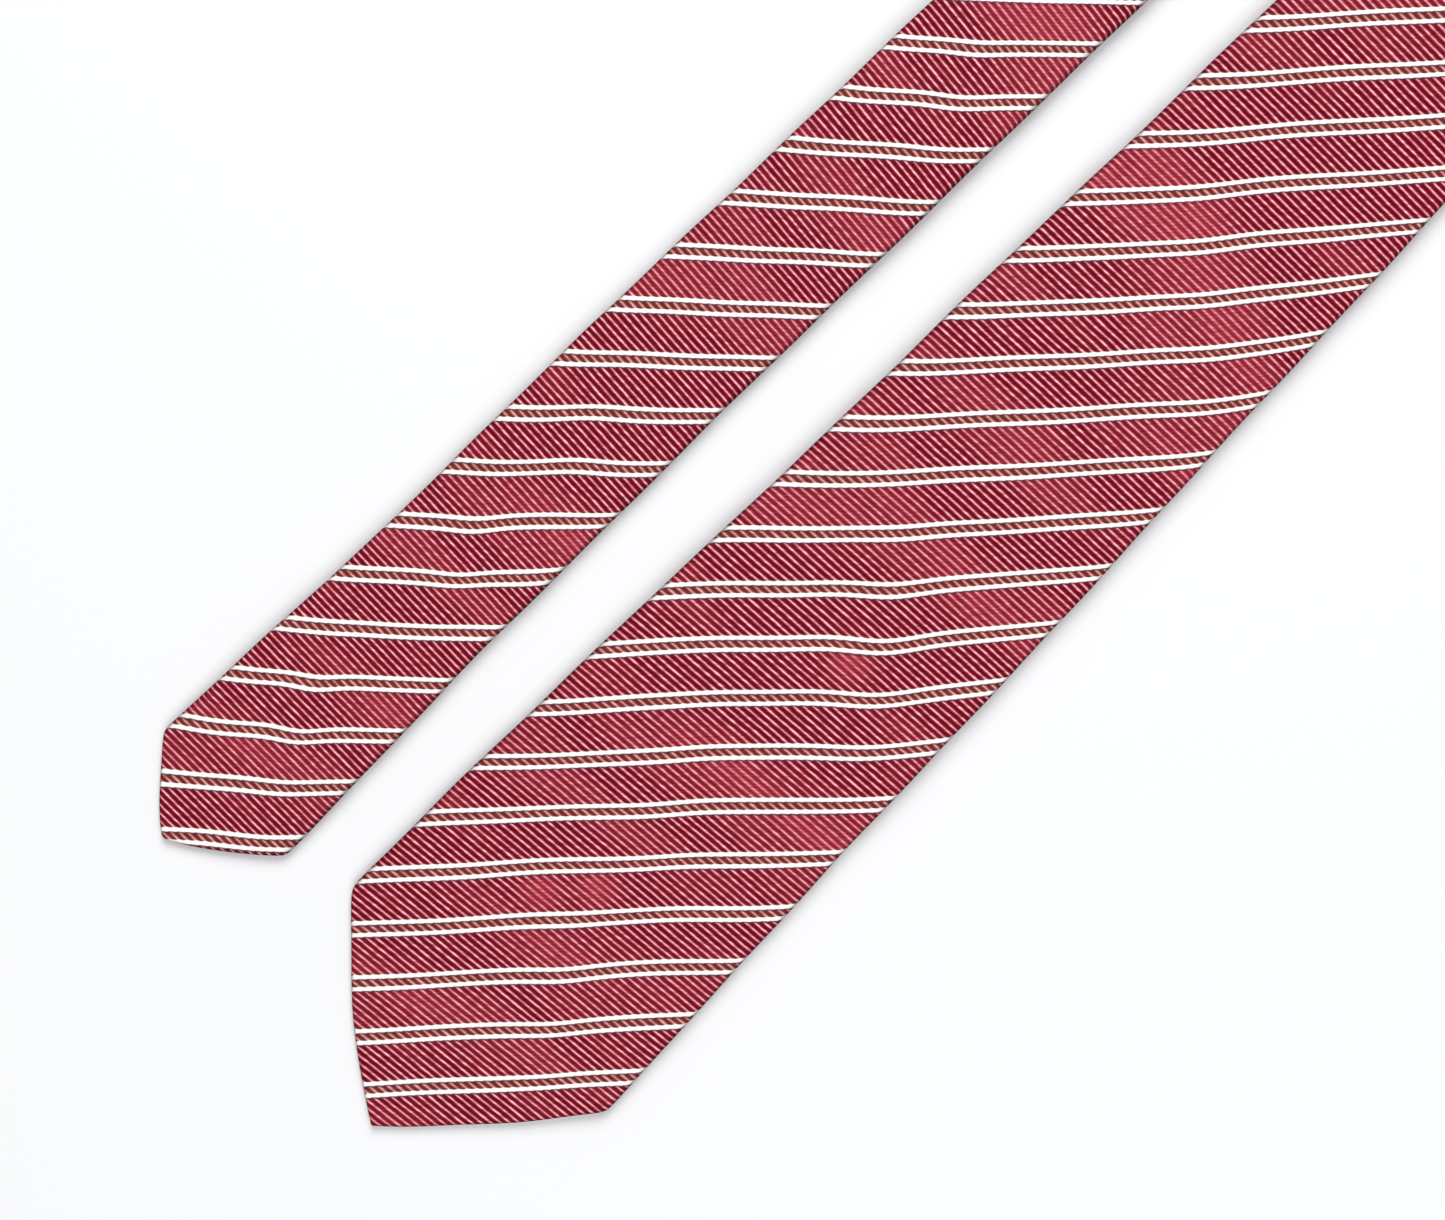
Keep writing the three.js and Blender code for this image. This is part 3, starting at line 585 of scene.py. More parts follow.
# Silk sewing thread, plied: round, softly glossy, with the slant of its twist
def sewingThread():
    material, tree = newMaterial("silkThreadPlied")
    cloth = node(tree, "ShaderNodeUVMap", uv_map="cloth")
    parts = node(tree, "ShaderNodeSeparateXYZ", {0: cloth})
    # One turn of the twist every 0.9 mm
    turns = node(tree, "ShaderNodeMath", {0: parts.outputs[0], 1: 1.1}, operation="MULTIPLY")
    slant = node(tree, "ShaderNodeMath", {0: turns, 1: parts.outputs[1]}, operation="ADD")
    ply = node(tree, "ShaderNodeMath", {0: slant, 1: 0.25}, operation="PINGPONG")
    groove = node(tree, "ShaderNodeMath", {0: ply, 1: 4.0}, operation="MULTIPLY")
    tone = node(tree, "ShaderNodeValToRGB", {0: groove}, [(0.0, "#5A101D"), (1.0, "#93293B")])
    bump = node(tree, "ShaderNodeBump", {"Height": groove, "Strength": 0.6, "Distance": 0.08 * mm})
    thread = node(tree, "ShaderNodeBsdfPrincipled", {
        "Base Color": tone, "Roughness": 0.45, "Sheen Weight": 0.1, "Normal": bump})
    node(tree, "ShaderNodeOutputMaterial", {0: thread})
    return material


# Polyester label ribbon, satin woven: fine lengthwise threads and a narrow woven edge
def labelRibbon(name, ground, light, edge, width):
    material, tree = newMaterial(name)
    cloth = node(tree, "ShaderNodeUVMap", uv_map="cloth")
    parts = node(tree, "ShaderNodeSeparateXYZ", {0: cloth})
    # Threads 0.2 mm apart, drawn 0.5 mm apart so that they show
    thread = node(tree, "ShaderNodeMath", {0: parts.outputs[1], 1: 0.25}, operation="PINGPONG")
    raised = node(tree, "ShaderNodeMath", {0: thread, 1: 4.0}, operation="MULTIPLY")
    tone = node(tree, "ShaderNodeValToRGB", {0: raised}, [(0.0, ground), (1.0, light)])
    fromMiddle = node(tree, "ShaderNodeMath", {0: parts.outputs[1]}, operation="ABSOLUTE")
    isBorder = node(tree, "ShaderNodeMath", {0: fromMiddle, 1: width / 2 - 3, 2: 0.6}, operation="COMPARE")
    bordered = node(tree, "ShaderNodeMix", {0: isBorder, 6: tone.outputs[0], 7: linear(edge)},
                    data_type="RGBA")
    bump = node(tree, "ShaderNodeBump", {"Height": raised, "Strength": 0.3, "Distance": 0.06 * mm})
    ribbon = node(tree, "ShaderNodeBsdfPrincipled", {
        "Base Color": bordered.outputs[2], "Roughness": 0.38, "Anisotropic": 0.3, "Normal": bump})
    node(tree, "ShaderNodeOutputMaterial", {0: ribbon})
    return material


finishes = {
    "silk_twill": silkTwill(),
    "wool_interlining": woolInterlining(),
    "tipping_lining": tippingLining(),
    "sewing_thread": sewingThread(),
    "label_satin": labelRibbon("polyesterRibbonCharcoal", "#1E1F26", "#34363F", "#8F8A80", 34),
    "care_satin": labelRibbon("polyesterRibbonIvory", "#E9E5DB", "#F7F4EC", "#DAD5C8", 24),
}
print("materials made")


def addMesh(name, points, faces, cloth, slotName, bake=None, paintedEdgeShade=None):
    mesh = bpy.data.meshes.new(name)
    mesh.from_pydata((points * mm).tolist(), [], [list(map(int, face)) for face in faces])
    mesh.update()
    corners = np.empty(len(mesh.loops), int)
    mesh.loops.foreach_get("vertex_index", corners)
    mesh.uv_layers.new(name="cloth").data.foreach_set("uv", cloth[corners].ravel())
    if bake is not None:
        mesh.uv_layers.new(name="OFBake").data.foreach_set("uv", bake.ravel())
    # The painted edge shade, kept as a point attribute that the silk material reads
    if paintedEdgeShade is not None:
        mesh.attributes.new("paintedEdgeShade", "FLOAT", "POINT").data.foreach_set("value", paintedEdgeShade)
    mesh.shade_smooth()
    mesh.set_sharp_from_angle(angle=math.radians(50))
    mesh.materials.append(finishes[slotName])
    obj = bpy.data.objects.new(name, mesh)
    bpy.context.scene.collection.objects.link(obj)
    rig.slot(obj, slotName)
    return obj


# A thread through each path, with closed ends
def addThread(name, paths, radius, sides=6):
    points, faces, cloth = [], [], []
    around = np.linspace(0, 2 * math.pi, sides, endpoint=False)
    for path in paths:
        start = sum(map(len, points))
        along = np.gradient(path, axis=0)
        along /= np.linalg.norm(along, axis=1)[:, None]
        side = np.cross(along[0], (0.31, 0.17, 0.93))
        run = np.concatenate([[0], np.cumsum(np.linalg.norm(np.diff(path, axis=0), axis=1))])
        for i, (centre, ahead) in enumerate(zip(path, along)):
            side = side - ahead * (side @ ahead)
            side /= np.linalg.norm(side)
            up = np.cross(ahead, side)
            points.append(centre + radius * (np.outer(np.cos(around), side) + np.outer(np.sin(around), up)))
            cloth.append(np.column_stack([np.full(sides, run[i]), around / (2 * math.pi)]))
        last = start + (len(path) - 1) * sides
        for row in range(start, last, sides):
            for j in range(sides):
                k = (j + 1) % sides
                faces.append((row + j, row + k, row + sides + k, row + sides + j))
        faces.append(range(start + sides - 1, start - 1, -1))
        faces.append(range(last, last + sides))
    return addMesh(name, np.concatenate(points), faces, np.concatenate(cloth), "sewing_thread")


# A flat piece between two edges and two heights, with its long edges rounded off
def addSlab(name, stations, edgesAt, low, high, columns, slotName, clothAt=None, sag=None):
    s, slant = (np.array(values, float) for values in zip(*stations))
    nearLow, nearHigh = edgesAt(s)
    lowEdge = edgesAt(s + slant * nearLow)[0]
    highEdge = edgesAt(s + slant * nearHigh)[1]
    share = np.linspace(0, 1, columns)
    u = lowEdge[:, None] + (highEdge - lowEdge)[:, None] * share
    rows = s[:, None] + slant[:, None] * u
    pinch = np.where((share == 0) | (share == 1), 0.3, 1.0)
    mid, half = (low + high) / 2, (high - low) / 2
    lift = sag(rows, u) if sag else 0.0
    sheets = [place(rows, u, mid + side * half * pinch + lift) for side in (-1, 1)]
    points = np.concatenate(sheets)
    count = u.size
    index = np.arange(count).reshape(u.shape)
    quads = np.stack([index[:-1, :-1], index[:-1, 1:], index[1:, 1:], index[1:, :-1]], -1).reshape(-1, 4)
    faces = [tuple(q[::-1]) for q in quads] + [tuple(q + count) for q in quads]
    rim = np.concatenate([index[0], index[1:, -1], index[-1, -2::-1], index[-2:0:-1, 0]])
    for a, b in zip(rim, np.roll(rim, -1)):
        faces.append((a, b, b + count, a + count))
    flat = np.column_stack([rows.ravel(), u.ravel()]) if clothAt is None else clothAt(rows, u)
    return addMesh(name, points, faces, np.concatenate([flat, flat]), slotName)


joinRun = 60.0  # length over which a leg's rows turn to the slant of a join
rollReach = rollRadius * math.pi / 2 * math.sqrt(2)


# Rows of a stretch: dense at the two ends' corners, at the fold lines and over the neck's folds
def rowsOf(start, end):
    marks = [start, end, bladeEnd["low"], bladeEnd["high"], tie["length"] - tailEnd["low"],
             tie["length"] - tailEnd["high"], bladeJoin, tailJoin, neckMiddle]
    # Each dense stretch: from, to, and the step between rows
    dense = [(0, 60, 1.5), (bladeFold - 20, bladeFold + 12, 0.8), (tailFold - 12, tailFold + 20, 0.8),
             (tie["length"] - 30, tie["length"], 1.2)]
    for fold in (firstFoldAt, secondFoldAt):
        dense.append((fold - rollReach, fold + rollReach, 0.6))
    for low, high, _ in dense:
        marks += [low, high]
    marks = sorted({m for m in marks if start <= m <= end})
    rows = []
    for a, b in zip(marks, marks[1:]):
        step = min([size for low, high, size in dense if low <= (a + b) / 2 <= high] + [3.0])
        rows.extend(np.linspace(a, b, max(2, int(math.ceil((b - a) / step)) + 1))[:-1])
    rows.append(marks[-1])
    s = np.array(rows)
    slant = firstSlant * smooth((s - (bladeJoin - joinRun)) / joinRun)
    alongNeck = smooth((s - firstFoldAt - rollReach) / (secondFoldAt - firstFoldAt - 2 * rollReach))
    neckSlant = firstSlant + (secondSlant - firstSlant) * alongNeck
    slant = np.where(s > firstFoldAt + rollReach, neckSlant, slant)
    slant = np.where(s > tailJoin, secondSlant * (1 - smooth((s - tailJoin) / joinRun)), slant)
    return list(zip(s, slant))


shell = {
    "thickness": 0.5,
    "roll": 1.5,  # reach of the soft rolled edge
    "hem": 3.5,  # cloth turned to the back along a tip's edges
    "flapStart": 9.0,  # width of a back flap at its corner
    "overlap": 1.5,  # half of the width by which one back flap covers the other
    "tipCut": 0.35,  # the cloth ends this far short of a tip's very point
    "seamGap": 0.15,  # between two panels
    "tuck": 0.58,  # height by which the covered flap lies inside the other
    "flapColumns": 13,
    "rollColumns": 7,
    "frontColumns": 37,
}


# Free edges of the two back flaps: they overlap along the seam, part in a V below the tack,
# and become a narrow hem along the slanted edges of a tip
def flapEdges(s, low, high):
    left = np.full_like(s, shell["overlap"])
    right = -left
    for end, run, tack in ((bladeEnd, s, tie["bladeTack"]), (tailEnd, tie["length"] - s, tie["tailTack"])):
        corner = max(end["low"], end["high"])
        opening = np.clip((tack - run) / (tack - corner), 0, 1) ** 0.92
        half = end["width"] / 2 - shell["flapStart"]
        left = np.where(run < tack, shell["overlap"] - (shell["overlap"] + half) * opening, left)
        right = np.where(run < tack, -left, right)
    hemLow, hemHigh = edges(s, shell["hem"])
    centre = (low + high) / 2
    left = np.where(left < hemLow, np.minimum(hemLow, centre), left)
    right = np.where(right > hemHigh, np.maximum(hemHigh, centre), right)
    return left, right


def overlapShare(s):
    blade = smooth((s - tie["bladeTack"]) / 10 + 0.6)
    tail = smooth((tie["length"] - s - tie["tailTack"]) / 10 + 0.6)
    return blade * tail


# One face of the shell's ribbon: left flap, left roll, front, right roll, right flap
def shellFace(s, slant, inset):
    nearLow, nearHigh = edges(s)
    low = edges(s + slant * nearLow, inset)[0]
    high = edges(s + slant * nearHigh, inset)[1]
    centre = (low + high) / 2
    low, high = np.minimum(low, centre - 0.02), np.maximum(high, centre + 0.02)
    left, right = flapEdges(s, low, high)
    reach = np.minimum(shell["roll"] - 0.6 * inset, 0.45 * (high - low))
    bottom, top = inset, thickness - inset
    half = (top - bottom) / 2
    flap = np.linspace(0, 1, shell["flapColumns"])
    turn = np.linspace(0, math.pi, shell["rollColumns"] + 2)[1:-1]
    front = np.linspace(0, 1, shell["frontColumns"])
    leftIn, rightIn = low + reach, high - reach
    left, right = np.maximum(left, leftIn), np.minimum(right, rightIn)
    u = np.concatenate([
        left[:, None] + (leftIn - left)[:, None] * flap,
        leftIn[:, None] - reach[:, None] * np.sin(turn),
        leftIn[:, None] + (rightIn - leftIn)[:, None] * front,
        rightIn[:, None] + reach[:, None] * np.sin(turn[::-1]),
        rightIn[:, None] + (right - rightIn)[:, None] * flap,
    ], axis=1)
    rounded = bottom + half * (1 - np.cos(turn))
    level = np.concatenate([np.full(len(flap), bottom), rounded, np.full(len(front), top), rounded[::-1],
                            np.full(len(flap), bottom)])
    h = np.tile(level, (len(s), 1))
    tucked = shell["tuck"] * overlapShare(s)[:, None] * smooth((u[:, :len(flap)] + 7) / 4.5)
    h[:, :len(flap)] += tucked
    return u, h


# Distance across the cut cloth, 0 at the middle of the front, on round the edges and over the flaps
def acrossCloth(u, h):
    steps = np.hypot(np.diff(u, axis=1), np.diff(h, axis=1))
    path = np.concatenate([np.zeros((len(u), 1)), np.cumsum(steps, axis=1)], axis=1)
    first = shell["flapColumns"] + shell["rollColumns"]
    return path - path[:, first:first + 1] + u[:, first:first + 1]


def bell(x, centre, reach):
    return np.exp(-((x - centre) / reach) ** 2)


# A place where the cloth is drawn along the tie, by amount, leaning across as its threads do
def pull(s, u, at, reach, amount, lean):
    return amount * bell(s, at[0], reach[0]) * bell(u + lean * (s - at[0]), at[1], reach[1])


# Thread coordinates in millimetres: across the stripes, and across the ribs.
# The bias-cut cloth is drawn a little out of square, most by the tack and along the rolled edges.
def bladeCloth(s, t):
    half = np.interp(s, widths[:, 0], widths[:, 1]) / 2
    slope = 1.095 - 0.045 * bell(s, 165, 38) + 0.045 * bell(s, 335, 40)
    drawn = -1.9 * smooth((s - 72) / 45) * (1 - smooth((s - 280) / 75))
    curlAmount = 0.15 + 1.15 * smooth((s - 150) / 50) - 0.5 * smooth((s - 330) / 40)
    curl = curlAmount * np.abs(np.clip(t / half, -1, 1)) ** 5
    ripple = (pull(s, t, (188, 9), (24, 13), -2.5, 0.55)
              + pull(s, t, (130, 0), (34, 13), 0.8, 0.55)
              + pull(s, t, (60, 14), (20, 9), -0.7, 0.55)
              + pull(s, t, (312, 5), (22, 14), -1.0, 0.7)
              + 0.18 * np.sin(t / 6.0 + s / 24.0))
    stripe = (s - slope * t - 32.0 - drawn - curl - ripple) * weave["stripePitch"] / 20.88
    turn = np.radians(7.0 - 0.02 * np.minimum(s, 420))
    count = 0.546 * s + 20.9 * (1 - np.exp(-s / 240.0))
    rib = (count - t * np.sin(turn) * 0.6) * weave["ribPitch"]
    return stripe, rib


def tailCloth(s, t):
    run, across = tie["length"] - s, -t
    slope = (0.965 + 0.055 * bell(run, 138, 20) - 0.09 * bell(run, 18, 16) - 0.03 * bell(run, 252, 30)
             + 0.02 * smooth((run - 285) / 30))
    drawn = (-1.95 * bell(run, 88, 30) - 0.6 * bell(run, 112, 12) - 0.8 * bell(run, 146, 32)
             - 0.3 * bell(run, 215, 30) - 1.2 * smooth((run - 215) / 110))
    curl = 0.5 * np.abs(np.clip(across / 20.5, -1, 1)) ** 5
    ripple = (pull(run, across, (51, 0), (15, 7), -2.0, 0.37)
              + pull(run, across, (110, 0), (15, 7), -1.2, 0.35)
              + pull(run, across, (150, 2), (16, 9), 0.7, 0.35)
              + pull(run, across, (291, 2), (16, 8), -1.1, 0.35)
              + 0.12 * np.sin(across / 4.0 + run / 19.0))
    stripe = (run - slope * across - 23.8 - drawn - curl - ripple) * weave["stripePitch"] / 19.96
    turn = np.radians(2.0 - 0.022 * np.minimum(run, 420))
    count = 0.555 * run + 17.0 * (1 - np.exp(-run / 200.0))
    rib = (count - across * np.sin(turn) * 0.6) * weave["ribPitch"]
    return stripe, rib


def neckCloth(s, t):
    return (s - t) / math.sqrt(2) + 4.0, s


# Corners in the bake's square: the outer face in two columns with most room for the front,
# the inner face and the rims in narrow strips beside them
def bakeCorners(rows, columns, quads):
    front = shell["frontColumns"]
    weight = np.full(columns - 1, 0.45)
    first = shell["flapColumns"] + shell["rollColumns"]
    weight[first:first + front - 1] = 1.0
    placeAt = np.concatenate([[0], np.cumsum(weight)]) / weight.sum()
    blocks, used = 2, 0.92
    split = math.ceil((rows - 1) / blocks)
    corners = []
    for kind, i, j in quads:
        if kind == "outer":
            block = i // split
            x = [(block + placeAt[j + k] * 0.985) * used / blocks for k in (0, 1, 1, 0)]
            y = [(i - block * split + k) / split for k in (0, 0, 1, 1)]
        else:
            x = [used + 0.01 + 0.05 * placeAt[j + k] for k in (0, 1, 1, 0)]
            y = [(i + k) / (rows - 1) for k in (0, 0, 1, 1)]
        corners.append(list(zip(x, y)))
    return corners


# Where tack or iron has pressed the blade's ribs flat: distance from the tip, to the side, and reach
pressMarks = ((177, 7, 5.5), (76, -8, 5), (87, 2, 5))


def addShell(name, start, end, clothOf):
    s, slant = (np.array(values, float) for values in zip(*rowsOf(start, end)))
    flats, points = [], []
    for inset in (0.0, shell["thickness"]):
        u, h = shellFace(s, slant, inset)
        along = s[:, None] + slant[:, None] * u
        points.append(place(along, u, h))
        if inset == 0.0:
            t = acrossCloth(u, h)
            cut = t[:, -1] - t[:, 0]
            stripe, rib = clothOf(along, t)
            # Painted edge shade mask: full at the very edge of the cloth, gone 1 mm in
            rolled = np.clip(1 - np.minimum(u - u.min(1)[:, None], u.max(1)[:, None] - u), 0, 1)
            pressed = sum(bell(along, at, reach) * bell(u, side, reach) for at, side, reach in pressMarks)
        flats.append(np.column_stack([stripe.ravel(), rib.ravel()]))
    rows, columns = u.shape
    index = np.arange(rows * columns).reshape(rows, columns)
    quads = [(i, j) for i in range(rows - 1) for j in range(columns - 1)]
    kinds = [("outer", i, j) for i, j in quads] + [("inner", i, j) for i, j in quads]
    outer = [(index[i, j], index[i, j + 1], index[i + 1, j + 1], index[i + 1, j]) for i, j in quads]
    count = rows * columns
    faces = outer + [tuple(v + count for v in face[::-1]) for face in outer]
    bake = bakeCorners(rows, columns, kinds)
    bake[len(quads):] = [corner[::-1] for corner in bake[len(quads):]]
    rim = np.concatenate([index[0], index[1:, -1], index[-1, -2::-1], index[-2:0:-1, 0]])
    for i, (a, b) in enumerate(zip(rim, np.roll(rim, -1))):
        faces.append((a, a + count, b + count, b))
        low, high = i / len(rim), (i + 1) / len(rim)
        bake.append([(0.985, low), (0.995, low), (0.995, high), (0.985, high)])
    obj = addMesh(name, np.concatenate(points), faces, np.concatenate(flats), "silk_twill",
                  np.array([corner for face in bake for corner in face]),
                  np.tile(rolled.ravel(), 2).astype(np.float32))
    shade = obj.data.attributes.new("pressed", "FLOAT", "POINT")
    shade.data.foreach_set("value", np.tile(pressed.ravel(), 2).astype(np.float32))
    area = float(np.sum((cut[1:] + cut[:-1]) / 2 * np.diff(s)))
    return obj, (float(cut.max()), float(end - start)), area


halfGap = shell["seamGap"] / 2
bladePanel, bladeFlat, bladeArea = addShell("bladePanel", shell["tipCut"], bladeJoin - halfGap, bladeCloth)
neckPanel, neckFlat, neckArea = addShell("neckPanel", bladeJoin + halfGap, tailJoin - halfGap, neckCloth)
tailPanel, tailFlat, tailArea = addShell("tailPanel", tailJoin + halfGap, tie["length"] - shell["tipCut"],
                                         tailCloth)
print("shell: cut widths %.0f, %.0f and %.0f mm" % (bladeFlat[0], neckFlat[0], tailFlat[0]))

layers = {
    "liningLow": 0.8,  # heights above the tie's back
    "liningHigh": 1.2,
    "padLow": 1.5,
    "padHigh": 2.6,
    "padInset": 1.1,  # from the tie's edges
    "tippingInset": 2.6,
    "padTipInset": 1.6,  # from a tip's very end, as the next one
    "tippingTipInset": 2.8,
    "tippingShort": 4.0,  # the lining ends this far below the tack
    "halfPadGap": 0.2,  # between the two lengths of interlining, at the zigzag
}


def padEdges(s):
    return edges(s, layers["padInset"])


bladePadStart = tipStart(bladeEnd, layers["padTipInset"])
tailPadEnd = tie["length"] - tipStart(tailEnd, layers["padTipInset"])
bladePad = addSlab("interliningBlade", rowsOf(bladePadStart, neckMiddle - layers["halfPadGap"]), padEdges,
                   layers["padLow"], layers["padHigh"], 15, "wool_interlining")
tailPad = addSlab("interliningTail", rowsOf(neckMiddle + layers["halfPadGap"], tailPadEnd), padEdges,
                  layers["padLow"], layers["padHigh"], 11, "wool_interlining")


def tippingEdges(s):
    low, high = edges(s, layers["tippingInset"])
    centre = (low + high) / 2
    return np.minimum(low, centre - 0.1), np.maximum(high, centre + 0.1)


# The lining lies a little slack
def slack(s, u):
    return -0.18 + 0.14 * np.sin(s / 9.0 + np.sin(u / 12.0)) * np.cos(u / 10.0)


bladeTippingRun = (tipStart(bladeEnd, layers["tippingTipInset"]), tie["bladeTack"] - layers["tippingShort"])
tailTippingRun = (tie["length"] - tie["tailTack"] + layers["tippingShort"],
                  tie["length"] - tipStart(tailEnd, layers["tippingTipInset"]))
bladeTipping = addSlab("bladeTipping", rowsOf(*bladeTippingRun), tippingEdges, layers["liningLow"],
                       layers["liningHigh"], 33, "tipping_lining", sag=slack)
tailTipping = addSlab("tailTipping", rowsOf(*tailTippingRun), tippingEdges, layers["liningLow"],
                      layers["liningHigh"], 21, "tipping_lining", sag=slack)
print("interlining and tipping made")

threads = {
    "slipRadius": 0.19,
    "tackRadius": 0.2,
    "keeperRadius": 0.17,
    "fineRadius": 0.15,
    "slipPitch": 12.0,
    "slipSwing": 1.4,
    "tippingStitch": 2.4,
    "tippingInset": 3.1,
    "joinHeight": 3.05,
    "zigzagReach": 13.5,
    "zigzagPoints": 28,
    "tackWraps": 22,
    "tackLength": 8.0,
    "tackWidth": 1.6,
}


# Slip stitch: hidden inside for most of its way, it dips through the covering flap once each pitch
def slipPath(start, end):
    s = np.linspace(start, end, max(24, int((end - start) * 1.6)))
    turn = (s - start) / threads["slipPitch"] * 2 * math.pi
    u = threads["slipSwing"] * np.sin(turn)
    dip = np.exp(-((turn % (2 * math.pi) - 1.5 * math.pi) / 0.42) ** 2)
    return place(s, u, 1.25 - 1.42 * dip)


# The thread's end is left as a loop below the tack, so that the seam can give
def spareLoop(tackAt, towards):
    angle = np.linspace(0, 2 * math.pi, 40)
    s = tackAt + towards * (2.0 + 5.0 * (1 - np.cos(angle)))
    u = 3.2 * np.sin(angle) * (1 + 0.25 * np.sin(angle))
    return place(s, u, 0.55 + 0.12 * np.sin(3 * angle))


bladeSlip = addThread("slipStitchBlade", [slipPath(tie["bladeTack"], neckMiddle - 1),
                                          spareLoop(tie["bladeTack"], -1)], threads["slipRadius"])
tailSlip = addThread("slipStitchTail", [slipPath(neckMiddle + 1, tie["length"] - tie["tailTack"]),
                                        spareLoop(tie["length"] - tie["tailTack"], 1)], threads["slipRadius"])


# Small slanted stitches that hold the tipping along both edges of a tip
def tippingStitches(end, isTail):
    paths = []
    reach = min(end["low"], end["high"]) - 2
    for side in (0, 1):
        for run in np.arange(7.0, reach, threads["tippingStitch"]):
            t = np.linspace(-1, 1, 7)
            runs = run + 0.8 * t
            s = tie["length"] - runs if isTail else runs
            u = edges(s, threads["tippingInset"])[side] + (0.5 * t if side else -0.5 * t)
            paths.append(place(s, u, 0.72 - 0.32 * (1 - t * t)))
    return paths


bladeTippingSeam = addThread("bladeTippingSeam", tippingStitches(bladeEnd, False), threads["fineRadius"], 5)
tailTippingSeam = addThread("tailTippingSeam", tippingStitches(tailEnd, True), threads["fineRadius"], 5)


# Machine stitches of a diagonal join, under the front
def joinPath(at, slant):
    low, high = edges(np.array([at]))
    u = np.linspace(low[0] + 4, high[0] - 4, 120)
    return place(at + slant * u + 0.25 * np.sin(u * 2.4), u, threads["joinHeight"])


bladeJoinSeam = addThread("bladeJoinSeam", [joinPath(bladeJoin, firstSlant)], threads["fineRadius"])
tailJoinSeam = addThread("tailJoinSeam", [joinPath(tailJoin, secondSlant)], threads["fineRadius"])

zigzagSteps = np.linspace(-threads["zigzagReach"], threads["zigzagReach"], threads["zigzagPoints"])
zigzagSwing = np.where(np.arange(threads["zigzagPoints"]) % 2, 1.5, -1.5)
zigzagPath = place(neckMiddle + zigzagSwing, zigzagSteps, threads["joinHeight"])
interliningZigzag = addThread("interliningZigzag", [zigzagPath], threads["tackRadius"])


# A bar tack: a thread wrapped side by side over a short bar
def tackPath(at):
    turn = np.linspace(0, 2 * math.pi * threads["tackWraps"], threads["tackWraps"] * 12)
    u = threads["tackLength"] * (turn / turn[-1] - 0.5)
    s = at + threads["tackWidth"] / 2 * np.cos(turn)
    return place(s, u, -0.28 + 0.26 * np.sin(turn))


bladeTack = addThread("bladeBarTack", [tackPath(tie["bladeTack"])], threads["tackRadius"])
tailTack = addThread("tailBarTack", [tackPath(tie["length"] - tie["tailTack"])], threads["tackRadius"])
print("threads made")

keeper = {"width": keeperBox[1][1] - keeperBox[0][1], "end": 7.3, "thickness": 0.5, "rise": 7.0}
keeper["half"] = (keeperBox[1][0] - keeperBox[0][0]) / 2
onBack = keeperBox[0][2] - backZ


# The keeper's cloth runs across the tie, so its own threads lie turned
def keeperCloth(s, u):
    stripe = (u - (s - keeperAt)) / math.sqrt(2) + 5.0
    return np.column_stack([stripe.ravel(), u.ravel()])


def addPlate(name, at, length, low, high, bottom, height, slotName, clothAt=None, columns=9, sag=None):
    steps = np.linspace(at - length / 2, at + length / 2, max(3, int(length / 1.5)))
    return addSlab(name, [(s, 0.0) for s in steps], lambda s: (np.full_like(s, low), np.full_like(s, high)),
                   bottom, bottom + height, columns, slotName, clothAt, sag)


keeperReach = keeper["half"] + keeper["end"]
keeperHalves = []
for side, low, high in (("Left", -keeperReach, 0.0), ("Right", 0.0, keeperReach)):
    keeperHalves.append(addPlate("keeper" + side, keeperAt, keeper["width"], low, high, onBack,
                                 keeper["thickness"], "silk_twill", keeperCloth, 41))


# Rows of short stitches, each a low arch over the piece that it holds
def stitchRow(s0, u0, s1, u1, level, pitch=3.4, length=2.5, rise=0.2):
    paths = []
    whole = math.hypot(s1 - s0, u1 - u0)
    count = max(1, int(whole / pitch))
    for i in range(count):
        t = (i + 0.5) / count + np.linspace(-0.5, 0.5, 9) * length / whole
        arch = level + rise * (2 * np.abs(np.linspace(-1, 1, 9)) ** 3 - 1)
        paths.append(place(s0 + (s1 - s0) * t, u0 + (u1 - u0) * t, arch))
    return paths


def keeperTack(side):
    u = side * (keeper["half"] + keeper["end"] / 2)
    half = keeper["width"] / 2 - 1.5
    return stitchRow(keeperAt - half, u, keeperAt + half, u, onBack, 2.2, 1.8)


keeperTackLeft = addThread("keeperTackLeft", keeperTack(-1), threads["keeperRadius"])
keeperTackRight = addThread("keeperTackRight", keeperTack(1), threads["keeperRadius"])


def flatPlace(box):
    centre = (box[0] + box[1]) / 2
    s = centre[1] - bladeTipY
    return s, centre[0] - bladeTipX - tie["bladeLean"] * s


# The label's ribbon runs across the tie, and the care label's along it
labels = {"width": 34.0, "careLength": 26.0, "careWidth": 24.0, "height": 0.3, "inset": 1.5, "rowReach": 15.5,
          "careRowReach": 10.5}
labelAt, labelAcross = flatPlace(labelBox)
careAt, careAcross = flatPlace(careBox)
labelLength = labelBox[1][0] - labelBox[0][0] - labels["width"] * abs(tie["bladeLean"])


def labelCloth(s, u):
    return np.column_stack([(u - labelAcross).ravel(), (s - labelAt).ravel()])


def careCloth(s, u):
    return np.column_stack([(s - careAt).ravel(), (u - careAcross).ravel()])


